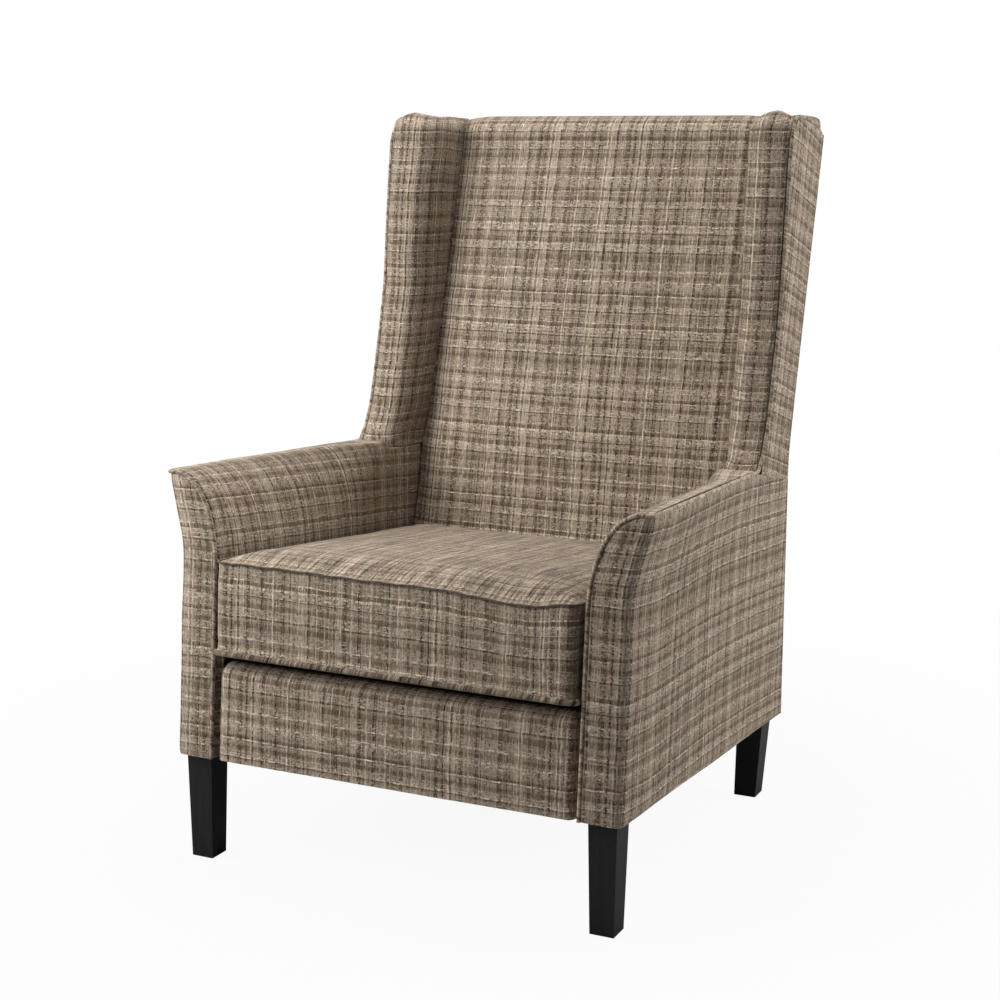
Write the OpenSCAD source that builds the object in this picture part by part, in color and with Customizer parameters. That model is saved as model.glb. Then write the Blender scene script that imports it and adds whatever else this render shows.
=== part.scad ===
// Fireside chair: high winged back, loose box seat cushion, square tapered legs.
// The chair faces -Y, +X is the sitter's left, and z is 0 on the floor.
// Sections are worked out with y counted from the front edge of the body, and
// place() then moves the whole chair so that y is 0 at the middle of its depth.

/* [Body] */
// Width of the body across the outside of the arms at the bottom
body_w = 740; // [700:1:780]
// Depth of the body at the bottom
body_d = 723; // [700:1:750]
// Height of the underside at its front edge
front_leg_h = 171; // [150:1:190]
// Height of the underside at its back edge
rear_leg_h = 133; // [115:1:150]
// Thickness of the covering fabric with its lining
cover_t = 2; // [1.5:0.1:3]
// Thickness of the frame timber
rail_t = 20; // [18:1:22]
// Radius of the welt cord in its fabric sleeve
welt_r = 3; // [2.5:0.1:3.5]

/* [Arms] */
// Height of the arm top, carried forward to the front edge of the body
arm_h = 610; // [590:1:630]
// Width of the arm at the bottom of its front facing
arm_w = 67; // [62:1:72]
// How far the top of the arm flares outwards at the front
arm_flare = 29; // [10:1:34]
// Height over which the outside of the arm flares
flare_h = 107; // [80:1:130]
// How far the front facing leans back from bottom to top
facing_lean = 38; // [20:1:50]
// Height of the rolled inner edge of the arm top
arm_roll_h = 140; // [110:1:160]
// Width of the flat on top of the arm
arm_flat = 18; // [12:1:24]

/* [Back and wings] */
// Height of the top of the inside back
back_h = 1140; // [1100:1:1180]
// How far the inside back rolls up above the top edge of the outside back
top_roll_h = 33; // [25:1:45]
// Height where the outside back starts to lean
bend_h = 585; // [560:1:600]
// Lean of the outside back, in degrees
back_rake = 15.7; // [13:0.1:18]
// How far the lower corners of the inside back lie inside the arms
crease_step = 3; // [2:0.5:8]
// How much narrower the inside back is on each side at its top
crease_taper = 15; // [5:1:22]
// How far the inside back is crowned forward at its middle
back_crown = 20; // [8:1:28]
// Thickness of the back at seat level, from the inside back to the outside back
back_foot_t = 96; // [91:1:108]
// Thickness of the back at its top, from the inside back to the outside back
back_top_t = 63.6; // [58:0.1:70]
// Length of the wing at its foot, from its front edge to the outside back
wing_foot_l = 148; // [138:1:158]
// Length of the wing at its top, from its front edge to the outside back
wing_top_l = 179; // [169:1:189]
// How far the padded wing bulges forward of its welt
wing_bulge = 14; // [6:1:18]

/* [Seat] */
// Height of the seat platform at the front edge of the body
deck_h = 331; // [322:1:336]
// Slope of the seat platform down to the back, in degrees
deck_pitch = 6; // [5:0.1:7]
// Clearance between the cushion and each arm
cushion_side_gap = 6; // [5.9:0.1:9]
// Thickness of the seat cushion at its edges, from the platform to the top seam
cushion_t = 148; // [130:1:160]
// How far the cushion's top is crowned above its top seam
cushion_crown = 14; // [6:1:20]
// How far the cushion's sides draw in between its corners
cushion_draw = 3; // [0:0.5:5]
// Clearance behind the cushion
cushion_back_gap = 8; // [7:0.5:12]

/* [Legs] */
// Width of a leg at its top
leg_top_w = 44; // [40:1:46]
// Width of a leg at its foot
leg_foot_w = 37; // [30:1:40]
// Distance of each leg in from the side of the body
leg_inset = 11; // [8:1:14]
// Distance of the front legs behind the front edge of the body
front_leg_inset = 15; // [13:1:18]
// Distance of the rear legs in front of the back edge of the body
rear_leg_inset = 25; // [22:1:28]
// Diameter of the hanger bolt in each leg
leg_bolt_d = 8; // [6:1:10]

/* [Springing] */
// Number of zigzag seat springs
spring_count = 4; // [3:1:5]
// Diameter of the spring wire
spring_wire_d = 3.8; // [3:0.1:4.5]
// Distance between neighbouring bars of a spring
spring_pitch = 30; // [26:1:34]
// Width of a zigzag spring
spring_w = 56; // [50:1:62]
// Number of straps of back webbing
strap_count = 5; // [3:1:6]
// Width of a strap of back webbing
strap_w = 50; // [40:1:60]

/* [Zip] */
// Length of the zip in the back of the cushion
zip_len = 500; // [400:1:520]

/* [Hidden] */

// Clearances shared by all pieces
gap = 0.3;
fit = 0.05;
overrun = 50;
half_w = body_w / 2;
frame_x = half_w - cover_t;
frame_in_x = frame_x - rail_t;
arm_in_x = half_w - arm_w;
outside_back_h = back_h - top_roll_h;
back_seat_y = body_d - back_foot_t;
wing_low_y = body_d - wing_foot_l;
wing_top_y = rear_y(back_h) - wing_top_l;
crease_low_x = arm_in_x - crease_step;
crease_top_x = crease_low_x - crease_taper;
slope = (front_leg_h - rear_leg_h) / body_d;
dust_t = 1;
bolt_sides = 32;
tube_sides = 6;

// Levels that fall to the back like the underside, and the lines of the body's outline
function fall(level, y) = level - slope * y;
function facing_y(level) = facing_lean * (level - front_leg_h) / (arm_h - front_leg_h);
function rear_y(z) = body_d + max(0, z - bend_h) * tan(back_rake);
function deck_z(y) = deck_h - y * tan(deck_pitch);
function inside_y(z) = back_seat_y + (z - seat_line_h) * tan(inside_rake);
function web_y(z) = inside_y(z)
    + mix(lower_pad_t, upper_pad_t, (z - seat_line_h) / (back_h - seat_line_h));
function crease_x(z) = crease_low_x + (crease_top_x - crease_low_x) * (z - seat_line_h) / (back_h - seat_line_h);
seat_line_h = deck_z(back_seat_y) + cushion_t - cushion_t * tan(deck_pitch) * tan(deck_pitch);
inside_rake = atan((rear_y(back_h) - back_top_t - back_seat_y) / (back_h - seat_line_h));
lower_pad_t = 46;
upper_pad_t = 40.5;

// Small helpers for outlines
function mix(a, b, share) = a + (b - a) * share;
function unit(v) = v / norm(v);
function smooth(t) = let (s = min(1, max(0, t))) s * s * (3 - 2 * s);
function flipped(points) = [for (i = [len(points) - 1:-1:0]) points[i]];
function turned(v) = [v[1], -v[0]];
// An open outline moved sideways, to the right of its direction of travel
function aside(points, d) = [for (i = [0:len(points) - 1])
    let (a = points[max(0, i - 1)], b = points[min(len(points) - 1, i + 1)])
    points[i] + d * turned(unit(b - a))];

module place() {
    translate([0, -mid_y, 0]) children();
}

module mirrored_if(right) {
    if (right) mirror([1, 0, 0]) children();
    else children();
}

// A flat outline in y and z, carried from x0 to x1
module yz_prism(points, x0, x1) {
    translate([x0, 0, 0]) rotate([90, 0, 90]) linear_extrude(x1 - x0) polygon(points);
}

// An outline in x and y, carried from z0 to z1
module xy_prism(points, z0, z1) {
    translate([0, 0, z0]) linear_extrude(z1 - z0) polygon(points);
}

// Faces turned, if need be, so that they point out of the solid
function around(points, face) = let (a = points[face[0]]) [for (i = [1:len(face) - 2])
    cross(points[face[i]] - a, points[face[i + 1]] - a) * a];
function signed(points, faces) = let (v = [for (f = faces) each around(points, f)]) v * [for (x = v) 1];
module closed(points, faces) {
    polyhedron(points, signed(points, faces) > 0 ? [for (f = faces) flipped(f)] : faces);
}

// A closed solid through rings of equally many points. Its flat ends are fans about
// their middles or about point hub of the ring, or strips between a thin skin's sides.
module loft(rings, thin = false, hub = undef) {
    n = len(rings[0]);
    last = len(rings) - 1;
    own = n * (last + 1);
    free = !thin && hub == undef;
    middles = free ? [for (r = [rings[0], rings[last]]) [for (p = r) 1 / n] * r] : [];
    walls = [for (i = [0:last - 1], j = [0:n - 1])
        let (a = i * n + j, b = i * n + (j + 1) % n, c = a + n, d = b + n)
        each thin && j >= n / 2 ? [[a, b, c], [b, d, c]] : [[a, b, d], [a, d, c]]];
    fans = thin ? [] : [for (k = [0, 1], j = [0:n - 1])
        let (base = k * last * n, a = base + j, b = base + (j + 1) % n, c = free ? own + k : base + hub)
        if (a != c && b != c) k == 0 ? [b, a, c] : [a, b, c]];
    strips = !thin ? [] : [for (k = [0, 1], j = [0:n / 2 - 2])
        let (a = k * last * n + j, b = k * last * n + n - 1 - j)
        each k == 0 ? [[a + 1, a, b], [a + 1, b, b - 1]] : [[a, a + 1, b], [b, a + 1, b - 1]]];
    closed(concat([for (r = rings) each r], middles), concat(walls, fans, strips));
}

// A round cord along a path, closed into a loop if looped
function cord_rings(path, r, looped) = [for (i = [0:len(path) - 1])
    let (n = len(path),
         a = looped ? path[(i + n - 1) % n] : path[max(0, i - 1)],
         b = looped ? path[(i + 1) % n] : path[min(n - 1, i + 1)],
         t = unit(b - a), side = unit(cross(t, [1, -1, 1])), up = cross(t, side))
    [for (k = [0:tube_sides - 1]) path[i] + r * (cos(360 * k / tube_sides) * side + sin(360 * k / tube_sides) * up)]];

module cord(path, r) {
    loft(cord_rings(path, r, false));
}

module cord_loop(path, r) {
    rings = cord_rings(path, r, true);
    m = len(path);
    closed([for (ring = rings) each ring],
        [for (i = [0:m - 1], j = [0:tube_sides - 1])
            let (i2 = (i + 1) % m, j2 = (j + 1) % tube_sides,
                 a = i * tube_sides + j, b = i * tube_sides + j2,
                 c = i2 * tube_sides + j, d = i2 * tube_sides + j2)
            each [[a, b, d], [a, d, c]]]);
}

// Timber frame: rails, leg blocks and posts
front_rail_y = 44;
block_w = frame_in_x - crease_low_x;
block_l = 60;
block_h = 60;
front_block_y = 20;
rear_block_y = body_d - cover_t - rail_t - block_l;
rail_bottom = front_leg_h + dust_t;
spring_r = spring_wire_d / 2;
deck_pad_t = 12;
cloth_t = 2;
clip_t = 1.5;
spring_drop = cover_t + deck_pad_t + cloth_t + spring_r + 3 * gap;
rail_top_drop = spring_drop + spring_r + clip_t + gap;

function spring_z(y) = deck_z(y) - spring_drop / cos(deck_pitch);
function rail_top_z(y) = deck_z(y) - rail_top_drop / cos(deck_pitch);

module cross_rail(y0) {
    y1 = y0 + rail_t;
    yz_prism([[y0, fall(rail_bottom, y0)], [y1, fall(rail_bottom, y1)],
        [y1, rail_top_z(y1)], [y0, rail_top_z(y0)]], -frame_in_x, frame_in_x);
}

module block_shape(y0, grow) {
    y1 = y0 + block_l + grow;
    top = rail_bottom + block_h + grow;
    yz_prism([[y0 - grow, fall(rail_bottom, y0) - grow], [y1, fall(rail_bottom, y1) - grow],
        [y1, fall(top, y1)], [y0 - grow, fall(top, y0)]],
        frame_in_x - block_w - grow, frame_in_x + grow);
}

module screw_holes(r) {
    for (m = [0, 1]) mirror([m, 0, 0]) {
        for (y = [front_block_y, rear_block_y]) for (s = screw_shares)
            translate([frame_in_x - block_w, y + block_l * s, fall(rail_bottom + block_h * s, y + block_l * s)])
                rotate([0, 90, 0]) cylinder(h = block_w + screw_bite, r = r, $fn = bolt_sides);
    }
}
screw_shares = [0.15, 0.88];
screw_r = 2;
screw_head_r = 4;
screw_head_t = 2.5;
screw_bite = 14;

module front_rail() {
    color("burlywood") place() difference() {
        cross_rail(front_rail_y);
        for (m = [0, 1]) mirror([m, 0, 0]) block_shape(front_block_y, gap);
    }
}

module rear_rail() {
    color("burlywood") place() cross_rail(body_d - cover_t - rail_t);
}

post_d = 45;
facing_wad = 6;
board_t = 6;
post_front = cover_t + facing_wad + board_t + 2 * gap;
back_post_low_d = 60;
back_post_y = body_d - cover_t - back_post_low_d;
side_rail_h = 90;
arm_pad_t = 22;
arm_rail_top = arm_h - cover_t - arm_pad_t;
arm_rail_low = arm_rail_top - rail_t;

function post_y(level) = facing_y(level) + post_front;
function on_post(level, d) = let (y = post_y(level) + d) [y, fall(level, y)];

module side_rail(right) {
    color("burlywood") place() mirrored_if(right) difference() {
        yz_prism([on_post(rail_bottom, post_d), [back_post_y, fall(rail_bottom, back_post_y)],
            [back_post_y, fall(rail_bottom + side_rail_h, back_post_y)],
            on_post(rail_bottom + side_rail_h, post_d)], frame_in_x, frame_x);
        screw_holes(screw_r + fit);
    }
}

module left_side_rail() { side_rail(false); }
module right_side_rail() { side_rail(true); }

// Leg hardware: hanger bolt up from the leg, tee nut let into the block
leg_x = half_w - leg_inset - leg_top_w / 2;
front_leg_y = front_leg_inset + leg_top_w / 2;
rear_leg_y = body_d - rear_leg_inset - leg_top_w / 2;
LEG_SPOTS = [[leg_x, front_leg_y], [-leg_x, front_leg_y], [leg_x, rear_leg_y], [-leg_x, rear_leg_y]];
bolt_r = leg_bolt_d / 2;
bolt_low = 40;
nut_flange_r = 9;
nut_flange_t = 1.5;
nut_barrel_r = bolt_r + 1;
nut_barrel_h = 12;
nut_seat = 4;

module leg_blocks() {
    color("burlywood") place() difference() {
        for (m = [0, 1]) mirror([m, 0, 0]) for (y = [front_block_y, rear_block_y]) block_shape(y, 0);
        for (p = LEG_SPOTS) translate([p[0], p[1], 0]) {
            cylinder(h = front_leg_h + block_h + overrun, r = bolt_r + fit + gap, $fn = bolt_sides);
            translate([0, 0, nut_base(p[1]) - nut_barrel_h])
                cylinder(h = block_h, r = nut_barrel_r + fit, $fn = bolt_sides);
            translate([0, 0, nut_base(p[1])]) cylinder(h = block_h, r = nut_flange_r + fit, $fn = bolt_sides);
        }
        screw_holes(screw_r + fit);
    }
}

function nut_base(y) = fall(rail_bottom + block_h, y) - nut_seat;

module tee_nuts() {
    color("silver") place() for (p = LEG_SPOTS) translate([p[0], p[1], nut_base(p[1])]) difference() {
        union() {
            cylinder(h = nut_flange_t, r = nut_flange_r, $fn = bolt_sides);
            translate([0, 0, -nut_barrel_h]) cylinder(h = nut_barrel_h, r = nut_barrel_r, $fn = bolt_sides);
        }
        translate([0, 0, -overrun]) cylinder(h = 2 * overrun, r = bolt_r + fit, $fn = bolt_sides);
    }
}

module leg_bolts() {
    color("silver") place() for (p = LEG_SPOTS)
        translate([p[0], p[1], fall(rail_bottom, p[1]) - bolt_low])
            cylinder(h = bolt_low + block_h - nut_seat, r = bolt_r, $fn = bolt_sides);
}

module block_screws() {
    color("gray") place() for (m = [0, 1]) mirror([m, 0, 0])
        for (y = [front_block_y, rear_block_y]) for (s = screw_shares)
            translate([frame_in_x - block_w, y + block_l * s, fall(rail_bottom + block_h * s, y + block_l * s)])
                rotate([0, 90, 0]) {
                    cylinder(h = block_w + screw_bite - fit, r = screw_r, $fn = bolt_sides);
                    translate([0, 0, -screw_head_t]) cylinder(h = screw_head_t, r = screw_head_r, $fn = bolt_sides);
                }
}

// Sides of the frame
wing_foot_gap = 13;
arm_end_y = wing_low_y - wing_foot_gap;
lean_deg = atan(facing_lean / (arm_h - front_leg_h));
post_top_z = outside_back_h - 12;
back_post_d = 45;
board_inset = 8;
wing_front_pad = 14;

function flare_share(y) = 1 - min(1, max(0, y - facing_lean) / (arm_end_y - facing_lean));
function arm_tip_x(y) = half_w + arm_flare * flare_share(y);
function arm_out_x(level, y) = half_w
    + arm_flare * flare_share(y) * max(0, (level - (arm_h - flare_h)) / flare_h);
function post_front_y(z) = mix(back_post_y, rear_y(post_top_z) - cover_t - back_post_d,
    max(0, (z - bend_h) / (post_top_z - bend_h)));

// The wing's front edge: height share up the wing, and share of its lean backwards
wing_edge_shares = [[0, 0], [0.085, 0.24], [0.185, 0.38], [0.32, 0.54], [0.47, 0.71],
    [0.64, 0.79], [0.81, 0.88], [0.98, 1], [1.1, 1.03]];
wing_low_z = fall(arm_h, wing_low_y);
function wing_y(z) = mix(wing_low_y, wing_top_y,
    lookup((z - wing_low_z) / (back_h - wing_low_z), wing_edge_shares));

module arm_post(right) {
    color("burlywood") place() mirrored_if(right) difference() {
        yz_prism([on_post(rail_bottom, 0), on_post(rail_bottom, post_d), on_post(arm_rail_low, post_d),
            on_post(arm_rail_low, 0)], frame_in_x, frame_x);
        screw_holes(screw_r + fit);
    }
}

module left_arm_post() { arm_post(false); }
module right_arm_post() { arm_post(true); }

module arm_rail(right) {
    front = post_y(arm_rail_top);
    wide = frame_x + arm_flare * (arm_rail_low - (arm_h - flare_h)) / flare_h - cover_t;
    color("burlywood") place() mirrored_if(right) intersection() {
        yz_prism([[front, fall(arm_rail_low, front)], [back_post_y, fall(arm_rail_low, back_post_y)],
            [back_post_y, fall(arm_rail_top, back_post_y)], [front, fall(arm_rail_top, front)]],
            frame_in_x, half_w + overrun);
        xy_prism([[frame_in_x, 0], [wide, 0], [wide, front], [frame_x, arm_end_y],
            [frame_x, body_d], [frame_in_x, body_d]], 0, arm_h);
    }
}

module left_arm_rail() { arm_rail(false); }
module right_arm_rail() { arm_rail(true); }

// The outline of the arm's front, from the foot of its inner edge over to its tip
roll_steps = 6;
function roll_curve(in_x, a, b, top, d) = [for (i = [0:roll_steps])
    let (w = 90 * i / roll_steps) [in_x + a - (a - d) * cos(w), top - b + (b - d) * sin(w)]];
function roll_a(y) = arm_tip_x(y) - arm_flat - arm_in_x;
function along_facing(p) = [p[0], (p[1] - front_leg_h) / cos(lean_deg)];

module facing_board(right) {
    in = board_inset;
    edge = concat([[arm_in_x + in, rail_bottom]],
        roll_curve(arm_in_x, roll_a(0), arm_roll_h, arm_h, in),
        [[arm_tip_x(0) - in, arm_h - in], [half_w - in, arm_h - flare_h], [half_w - in, rail_bottom]]);
    color("tan") place() mirrored_if(right)
        translate([0, cover_t + facing_wad, front_leg_h]) rotate([90 - lean_deg, 0, 0])
            translate([0, 0, -board_t]) linear_extrude(board_t) polygon([for (p = edge) along_facing(p)]);
}

module left_facing_board() { facing_board(false); }
module right_facing_board() { facing_board(true); }

module back_post(right) {
    low = fall(rail_bottom, back_post_y);
    rear = body_d - cover_t;
    color("burlywood") place() mirrored_if(right) difference() {
        yz_prism([[back_post_y, low], [rear, fall(rail_bottom, rear)], [rear, bend_h],
            [rear_y(post_top_z) - cover_t, post_top_z], [post_front_y(post_top_z), post_top_z],
            [back_post_y, bend_h]], frame_in_x, frame_x);
        screw_holes(screw_r + fit);
    }
}

module left_back_post() { back_post(false); }
module right_back_post() { back_post(true); }

wing_board_top = back_h - 26;
module wing_board(right) {
    foot = wing_y(wing_low_z) + wing_front_pad;
    edge = [for (s = wing_edge_shares) if (s[0] > 0 && s[0] < 0.9)
        let (z = mix(wing_low_z, back_h, s[0])) [wing_y(z) + wing_front_pad, z]];
    color("tan") place() mirrored_if(right) yz_prism(concat(
        [[foot, fall(arm_rail_top, foot)]], edge,
        [[wing_y(wing_board_top) + wing_front_pad, wing_board_top],
            [post_front_y(post_top_z) - wing_front_pad, wing_board_top],
            [post_front_y(post_top_z), post_top_z], [back_post_y, bend_h],
            [back_post_y, fall(arm_rail_top, back_post_y)]]), frame_in_x, frame_x);
}

module left_wing_board() { wing_board(false); }
module right_wing_board() { wing_board(true); }

// Back rails and webbing
top_rail_h = 55;
top_rail_top = outside_back_h - 7;
low_rail_z = deck_h;
low_rail_h = 40;
strap_t = 1.5;

module top_back_rail() {
    low = top_rail_top - top_rail_h;
    color("burlywood") place() yz_prism([[web_y(low), low], [rear_y(low) - cover_t, low],
        [rear_y(top_rail_top) - cover_t, top_rail_top], [web_y(top_rail_top), top_rail_top]],
        -frame_in_x, frame_in_x);
}

module lower_back_rail() {
    high = low_rail_z + low_rail_h;
    color("burlywood") place() yz_prism([[web_y(low_rail_z), low_rail_z],
        [web_y(low_rail_z) + rail_t, low_rail_z], [web_y(high) + rail_t, high], [web_y(high), high]],
        -frame_in_x, frame_in_x);
}

module back_webbing() {
    reach = crease_top_x - strap_w / 2 - lower_pad_t / 2;
    low = low_rail_z;
    high = top_rail_top;
    color("dimgray") place() for (i = [0:strap_count - 1])
        let (x = reach * (2 * i / (strap_count - 1) - 1))
            yz_prism([[web_y(low) - strap_t, low], [web_y(low), low],
                [web_y(high), high], [web_y(high) - strap_t, high]], x - strap_w / 2, x + strap_w / 2);
}

// Zigzag springs, each one wire, and the clips that hold their first and last bars
wire_grid = 0.2;
function on_grid(a) = wire_grid * round(a / wire_grid);
spring_from = on_grid((front_rail_y + rail_t / 2) / cos(deck_pitch));
spring_run = (body_d - cover_t - rail_t / 2) / cos(deck_pitch) - spring_from;
bar_count = round(spring_run / spring_pitch) + 1;
bar_step = on_grid(spring_run / (bar_count - 1));
spring_to = spring_from + bar_step * (bar_count - 1);
bar_half = on_grid((spring_w - bar_step) / 2);
spring_reach = arm_in_x - 1.8 * spring_w;
clip_w = 24;

function spring_x(i) = spring_reach * (2 * i / (spring_count - 1) - 1);

module on_deck(drop) {
    translate([0, 0, deck_h]) rotate([-deck_pitch, 0, 0]) translate([0, 0, -drop]) children();
}

module zigzag() {
    for (i = [0:bar_count - 1]) {
        s = spring_from + i * bar_step;
        translate([-bar_half, s, 0]) rotate([0, 90, 0])
            cylinder(h = 2 * bar_half, r = spring_r, $fn = bolt_sides);
        if (i < bar_count - 1)
            translate([(i % 2 == 0 ? 1 : -1) * bar_half, s + bar_step / 2, 0])
                rotate([0, 0, i % 2 == 0 ? -90 : 90])
                    rotate_extrude(angle = 180, $fn = bolt_sides)
                        translate([bar_step / 2, 0]) circle(r = spring_r, $fn = bolt_sides);
    }
}

module seat_springs() {
    color("slategray") place() on_deck(spring_drop)
        for (i = [0:spring_count - 1]) translate([spring_x(i), 0, 0]) zigzag();
}

module spring_clips() {
    bore = spring_r + 2 * fit;
    out = bore + clip_t;
    color("silver") place() on_deck(spring_drop)
        for (i = [0:spring_count - 1]) for (s = [spring_from, spring_to])
            translate([spring_x(i), s, 0]) difference() {
                translate([-clip_w / 2, -out, -out]) cube([clip_w, 2 * out, out + spring_r]);
                translate([-clip_w, -bore, -bore]) cube([2 * clip_w, 2 * bore, overrun]);
            }
}

// Seat platform: hessian over the springs, a thin pad, and the platform cloth
deck_half = arm_in_x - 2 * gap;
deck_back_y = web_y(deck_z(back_seat_y)) - strap_t - gap;

module deck_layer(top_drop, t) {
    y0 = front_rail_y;
    y1 = deck_back_y;
    a = top_drop / cos(deck_pitch);
    b = (top_drop + t) / cos(deck_pitch);
    place() yz_prism([[y0, deck_z(y0) - b], [y1, deck_z(y1) - b], [y1, deck_z(y1) - a],
        [y0, deck_z(y0) - a]], -deck_half, deck_half);
}

module insulator_cloth() { color("peru") deck_layer(cover_t + deck_pad_t, cloth_t); }
module deck_pad() { color("white") deck_layer(cover_t, deck_pad_t); }
module deck_cover() { color("dimgray") deck_layer(0, cover_t); }

// Front border: a padded panel set back between the arm facings
border_recess = 12;
border_drop = 11;
border_round = 18;
border_h = deck_h - border_drop;
border_half = arm_in_x - 2 * gap;
border_pad_half = crease_low_x - screw_head_t - 2 * gap;
border_steps = 5;
border_line = concat(
    [[facing_y(rail_bottom) + border_recess, fall(rail_bottom, border_recess)]],
    [for (i = [0:border_steps]) let (w = 90 * i / border_steps)
        [facing_y(border_h - border_round) + border_recess + border_round * (1 - cos(w)),
            border_h - border_round * (1 - sin(w))]],
    [[front_rail_y - gap, border_h]]);

module border_pad() {
    foot = front_rail_y - gap;
    color("white") place() yz_prism(concat(aside(border_line, cover_t + gap),
        [[foot, fall(rail_bottom, foot)]]), -border_pad_half, border_pad_half);
}

module border_cover() {
    color("#8d8173") place() yz_prism(concat(border_line, flipped(aside(border_line, cover_t))),
        -border_half, border_half);
}

// Black cloth under the seat, cut out round the legs
module dust_cover() {
    y0 = corner_r + gap;
    y1 = body_d - cover_t - gap;
    cut = leg_top_w / 2 + gap;
    top = rail_bottom - gap;
    color("#222222") place() difference() {
        yz_prism([[y0, fall(front_leg_h, y0)], [y1, fall(front_leg_h, y1)],
            [y1, fall(top, y1)], [y0, fall(top, y0)]], -frame_x + gap, frame_x - gap);
        for (p = LEG_SPOTS) translate([p[0] - cut, p[1] - cut, 0]) cube([2 * cut, 2 * cut, arm_h]);
    }
}

// Legs: square, tapered on all four sides, with a glide under each foot
glide_t = 3;
glide_r = 9;
nail_r = 1.2;
nail_l = 15;
front_foot_forward = 3.5;
rear_foot_forward = 11.5;
rear_foot_inward = 3.5;

module leg(spot, inward, forward) {
    out = sign(spot[0]);
    top = leg_top_w / 2;
    foot = leg_foot_w / 2;
    high = front_leg_h + dust_t;
    fx = spot[0] - out * inward;
    fy = spot[1] - forward;
    difference() {
        intersection() {
            yz_prism([[fy - foot, glide_t], [fy + foot, glide_t],
                [spot[1] + top, fall(high, spot[1] + top)], [spot[1] - top, fall(high, spot[1] - top)]],
                -body_w, body_w);
            translate([0, body_d + overrun, 0]) rotate([90, 0, 0]) linear_extrude(body_d + 2 * overrun)
                polygon([[fx - foot, glide_t], [fx + foot, glide_t], [spot[0] + top, fall(high, spot[1])],
                    [spot[0] + top, arm_h], [spot[0] - top, arm_h], [spot[0] - top, fall(high, spot[1])]]);
        }
        translate([spot[0], spot[1], fall(high, spot[1]) - bolt_low - fit])
            cylinder(h = overrun + bolt_low, r = bolt_r + fit, $fn = bolt_sides);
        translate([fx, fy, 0]) cylinder(h = nail_l + glide_t + fit, r = nail_r + fit, $fn = bolt_sides);
    }
}

module front_left_leg() { color("#20221f") place() leg(LEG_SPOTS[0], 0, front_foot_forward); }
module front_right_leg() { color("#20221f") place() leg(LEG_SPOTS[1], 0, front_foot_forward); }
module rear_left_leg() { color("#20221f") place() leg(LEG_SPOTS[2], rear_foot_inward, rear_foot_forward); }
module rear_right_leg() { color("#20221f") place() leg(LEG_SPOTS[3], rear_foot_inward, rear_foot_forward); }

module glides() {
    color("#333333") place() for (i = [0:3]) {
        rear = i > 1;
        p = LEG_SPOTS[i];
        translate([p[0] - (rear ? sign(p[0]) * rear_foot_inward : 0),
            p[1] - (rear ? rear_foot_forward : front_foot_forward), 0]) {
            cylinder(h = glide_t, r = glide_r, $fn = bolt_sides);
            cylinder(h = glide_t + nail_l, r = nail_r, $fn = bolt_sides);
        }
    }
}

// Arms. A section is a list of [x, level] from the tip over the roll and down
// the inside; past the wing's foot it is lower, and lies under the wing.
tuck = 10;
wing_sink = 12;
under_roll = 4;
roll_end_share = 0.35;
roll_fade = 130;
arm_front = 2 * welt_r + gap;

function roll_share(y) = mix(1, roll_end_share, smooth((y - (arm_end_y - roll_fade)) / roll_fade));
function arm_section(y) = let (under = y > arm_end_y,
    top = under ? arm_h - wing_sink : arm_h,
    a = under ? under_roll : roll_a(y) * roll_share(y),
    b = under ? under_roll : arm_roll_h * roll_share(y),
    tip = under ? frame_in_x - gap : arm_tip_x(y) - arm_front,
    low = deck_z(y) - tuck + slope * y)
    concat([[tip, top], [mix(tip, arm_in_x + a, 0.5), top]],
        flipped(roll_curve(arm_in_x, a, b, top, 0)),
        [[arm_in_x, mix(top - b, low, 0.5)], [arm_in_x, low]]);

// Stations along the arm as shares of the way to the wing, and its end before the webbing
arm_back_y = web_y(low_rail_z) - strap_t - 2 * gap;
arm_shares = [0, 0.05, 0.15, 0.32, 0.5, 0.66, 0.75, 0.84, 0.92, 1];
function arm_stations(front) = concat([for (s = arm_shares) mix(facing_lean + front, arm_end_y, s)],
    [arm_end_y + gap, arm_back_y]);
function set_back(points, y, i) = let (lean = max(0, 1 - i / 2)) [for (p = points)
    let (yy = y + lean * (facing_y(p[1]) - facing_lean)) [p[0], yy, fall(p[1], yy)]];

module inside_arm_cover(right) {
    ys = arm_stations(arm_front);
    color("#8d8173") place() mirrored_if(right) loft([for (i = [0:len(ys) - 1])
        let (s = arm_section(ys[i])) set_back(concat(s, flipped(aside(s, -cover_t))), ys[i], i)], true);
}

module left_inside_arm_cover() { inside_arm_cover(false); }
module right_inside_arm_cover() { inside_arm_cover(true); }

// The pad's own back follows the rail and the wall of posts, as many points as its face
function pad_back(s, y) = let (k = len(s) - 1, wall = frame_in_x - gap, ledge = arm_rail_top + gap,
    under = y > arm_end_y, low = s[k][1])
    [for (i = [0:k]) i > 1 ? [wall, mix(ledge, low, (i - 2) / (k - 2))]
        : under ? [wall, mix(s[0][1], ledge, (i + 1) / 3)]
        : [mix(min(s[0][0], arm_out_x(ledge, y) - cover_t - gap), wall, i / 2), ledge]];

module arm_pad(right) {
    ys = arm_stations(post_front + gap);
    color("white") place() mirrored_if(right) loft([for (i = [0:len(ys) - 1])
        let (s = aside(arm_section(ys[i]), -cover_t - gap))
            set_back(concat(s, flipped(pad_back(s, ys[i]))), ys[i], i)], true);
}

module left_arm_pad() { arm_pad(false); }
module right_arm_pad() { arm_pad(true); }

// Outside arm cover: the front facing, round the corner and along the side, one piece
corner_r = 14;
corner_steps = 4;
outside_shares = [0, 0.35, 0.6, 0.757, 0.8, 0.85, 0.9, 0.94, 0.97, 1];
facing_edge = 2 * welt_r;

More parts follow.
